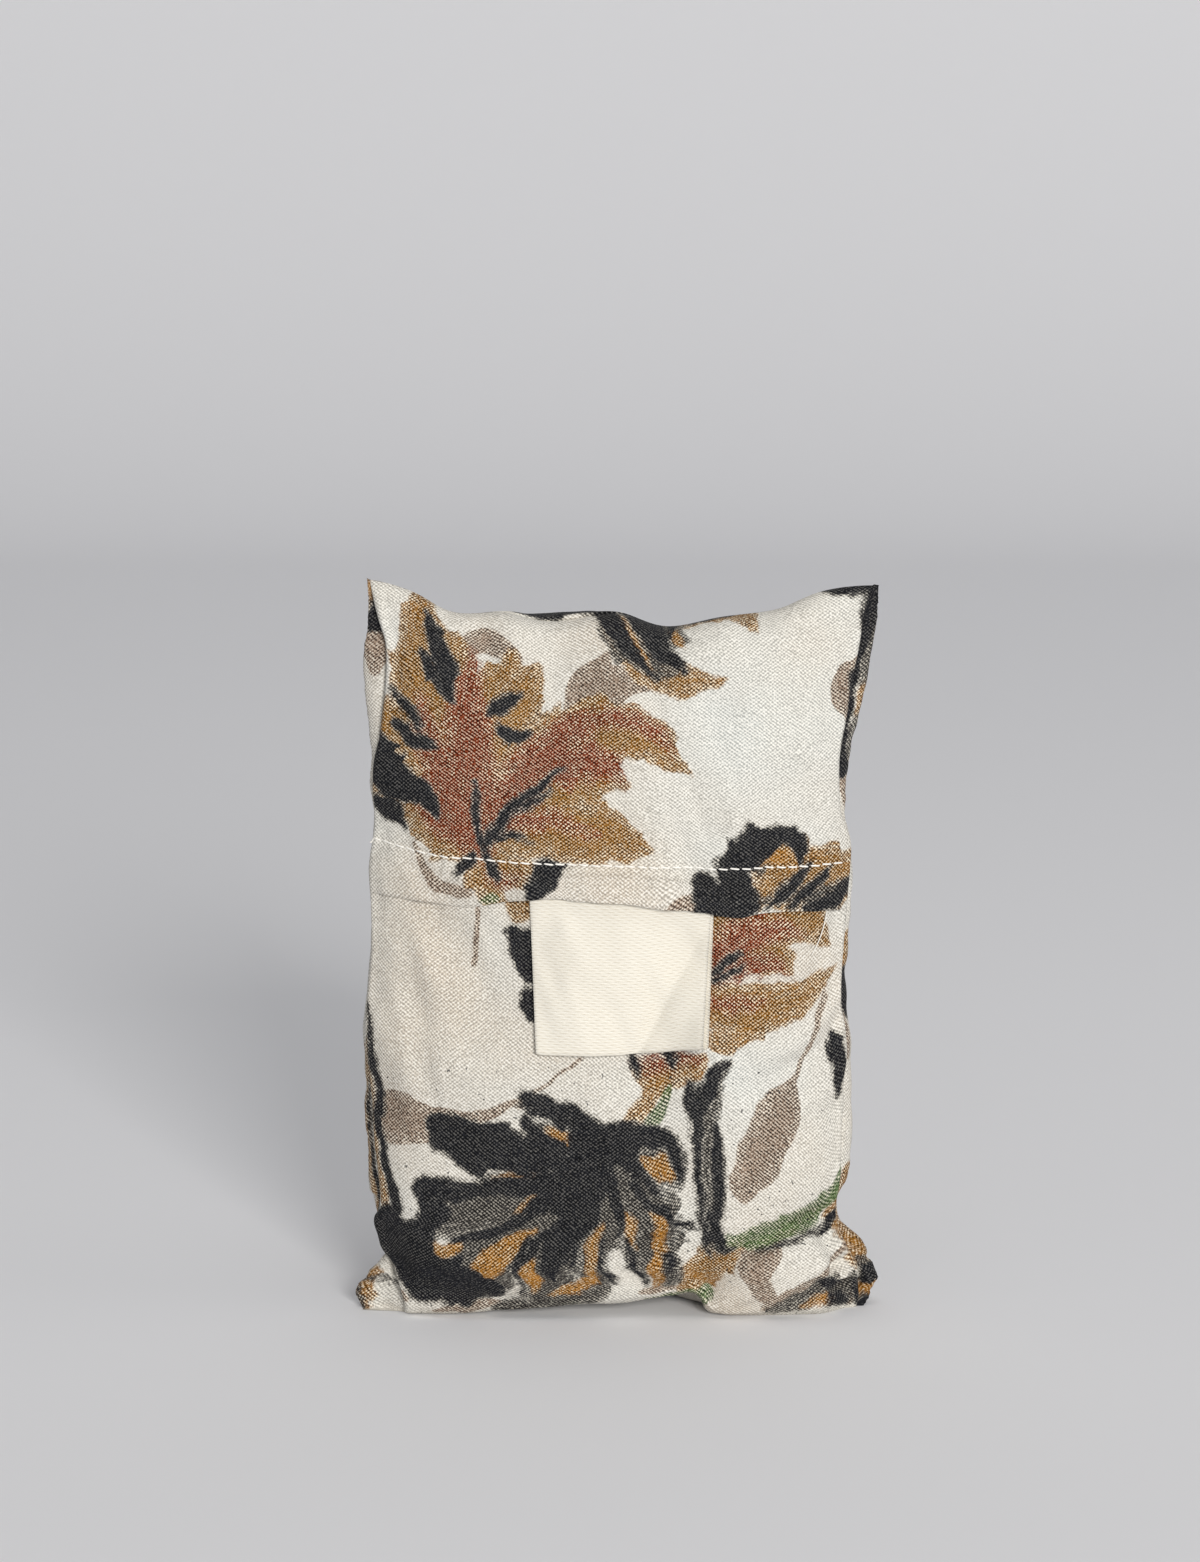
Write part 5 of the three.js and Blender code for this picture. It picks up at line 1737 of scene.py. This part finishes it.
class BuildStage(bpy.types.Operator):
    """Build the pale floor and backdrop, the soft lights and the camera"""

    bl_idname = "shopping_bag.build_stage"
    bl_label = "Stage, lights and camera"

    def execute(self, context):
        scene = context.scene
        scene.view_settings.view_transform = "Standard"
        material, shader, _ = new_material("pale paper", 0.9)
        shader.inputs["Base Color"].default_value = (*linear(*PAPER), 1)
        shader.inputs["Specular IOR Level"].default_value = 0.1
        bend_start = BACKDROP_WALL - BACKDROP_BEND
        profile = [(BACKDROP_FRONT, 0.0), (bend_start, 0.0)]
        for k in range(1, BEND_STEPS + 1):
            turn = math.pi / 2 * k / BEND_STEPS
            along, up = math.sin(turn), 1 - math.cos(turn)
            profile.append((bend_start + BACKDROP_BEND * along, BACKDROP_BEND * up))
        profile.append((BACKDROP_WALL, BACKDROP_TOP))
        points = [(side * HALF_BACKDROP, y, z) for side in (-1, 1) for y, z in profile]
        count = len(profile)
        faces = [(k, count + k, count + k + 1, k + 1) for k in range(count - 1)]
        mesh = bpy.data.meshes.new("backdrop")
        mesh.from_pydata(points, [], faces)
        mesh.shade_smooth()
        mesh.materials.append(material)
        backdrop = bpy.data.objects.new("backdrop", mesh)
        scene.collection.objects.link(backdrop)

        world = bpy.data.worlds.new("soft room light")
        world.use_nodes = True
        room = world.node_tree.nodes["Background"].inputs
        room["Color"].default_value = (*linear(*ROOM_COLOUR), 1)
        room["Strength"].default_value = ROOM_LIGHT
        scene.world = world
        for row in rows_of(LIGHTS):
            light = bpy.data.lights.new(row["name"], "AREA")
            light.shape = "RECTANGLE"
            light.size, light.size_y = row["wide"], row["tall"]
            light.energy = row["watts"]
            light.color = linear(*row["colour"])
            lamp = bpy.data.objects.new(row["name"], light)
            lamp.location = row["place"]
            aim = Vector(row["aim"]) - lamp.location
            lamp.rotation_euler = aim.to_track_quat("-Z", "Y").to_euler()
            scene.collection.objects.link(lamp)
        camera = bpy.data.cameras.new("camera")
        camera.lens, camera.sensor_width, camera.sensor_fit = CAMERA_LENS, 36, "AUTO"
        camera.clip_start, camera.clip_end = 0.05, 20
        eye = bpy.data.objects.new("camera", camera)
        eye.location = CAMERA_PLACE
        eye.rotation_euler = (math.radians(90 - CAMERA_DOWN), 0, 0)
        scene.collection.objects.link(eye)
        scene.camera = eye
        return {"FINISHED"}


class PouchSizes(bpy.types.PropertyGroup):
    """Sizes of the sewn parts"""

    label_width: FloatProperty(
        name="Label width",
        description="Width of the tape",
        default=0.0408,
        min=0.01,
        max=0.08,
        unit="LENGTH",
    )
    label_drop: FloatProperty(
        name="Label drop",
        description="How far the label hangs under the hem",
        default=0.0353,
        min=0.01,
        max=0.08,
        unit="LENGTH",
    )
    label_thickness: FloatProperty(
        name="Tape thickness",
        description="Thickness of the tape",
        default=0.00042,
        min=0.0001,
        unit="LENGTH",
    )
    stitch_pitch: FloatProperty(
        name="Stitch pitch", description="From stitch to stitch", default=0.0026, min=0.001, unit="LENGTH"
    )
    stitch_length: FloatProperty(
        name="Stitch length", description="Length of a stitch", default=0.0023, min=0.0005, unit="LENGTH"
    )
    thread_width: FloatProperty(
        name="Thread width",
        description="Width of the sewing thread",
        default=0.00042,
        min=0.0001,
        unit="LENGTH",
    )


def paint_property(name, description, red, green, blue):
    """A colour that the user can change."""
    return FloatVectorProperty(
        name=name, description=description, default=linear(red, green, blue), subtype="COLOR", min=0, max=1
    )


class PrintColours(bpy.types.PropertyGroup):
    """Colours of the print"""

    taupe: paint_property("Taupe", "Buds and pale leaves", 146, 125, 108)
    ochre: paint_property("Ochre", "Outer parts of the leaves", 142, 97, 34)
    rust: paint_property("Rust", "Hearts of the leaves", 126, 52, 20)
    green: paint_property("Green", "Stems", 88, 112, 66)
    charcoal: paint_property("Charcoal", "Dark leaves and veins", 27, 28, 33)
    wash: paint_property("Grey wash", "Thin edges of the dark leaves", 62, 59, 56)
    gold: paint_property("Gold", "Warm light in the dark leaves", 160, 108, 36)


class ShoppingBagPanel(bpy.types.Panel):
    """The sizes, colours and pieces of the shopping bag"""

    bl_idname = "VIEW3D_PT_shopping_bag"
    bl_label = "Shopping Bag"
    bl_space_type = "VIEW_3D"
    bl_region_type = "UI"
    bl_category = "Shopping Bag"

    def draw(self, context):
        for group in (context.scene.shopping_bag_sizes, context.scene.shopping_bag_print):
            box = self.layout.box()
            for name in group.__annotations__:
                box.prop(group, name)
        for operator in OPERATORS:
            self.layout.operator(operator.bl_idname)


OPERATORS = (BuildPouch, BuildFlap, BuildLabel, BuildStitches, BuildStage)
CLASSES = (PouchSizes, PrintColours, *OPERATORS, ShoppingBagPanel)


def register():
    for cls in CLASSES:
        bpy.utils.register_class(cls)
    bpy.types.Scene.shopping_bag_sizes = PointerProperty(type=PouchSizes)
    bpy.types.Scene.shopping_bag_print = PointerProperty(type=PrintColours)


def unregister():
    del bpy.types.Scene.shopping_bag_print
    del bpy.types.Scene.shopping_bag_sizes
    for cls in reversed(CLASSES):
        bpy.utils.unregister_class(cls)


def main():
    register()
    bpy.ops.shopping_bag.build_pouch()
    bpy.ops.shopping_bag.build_flap()
    bpy.ops.shopping_bag.build_label()
    bpy.ops.shopping_bag.build_stitches()
    bpy.ops.shopping_bag.build_stage()


if __name__ == "__main__":
    main()
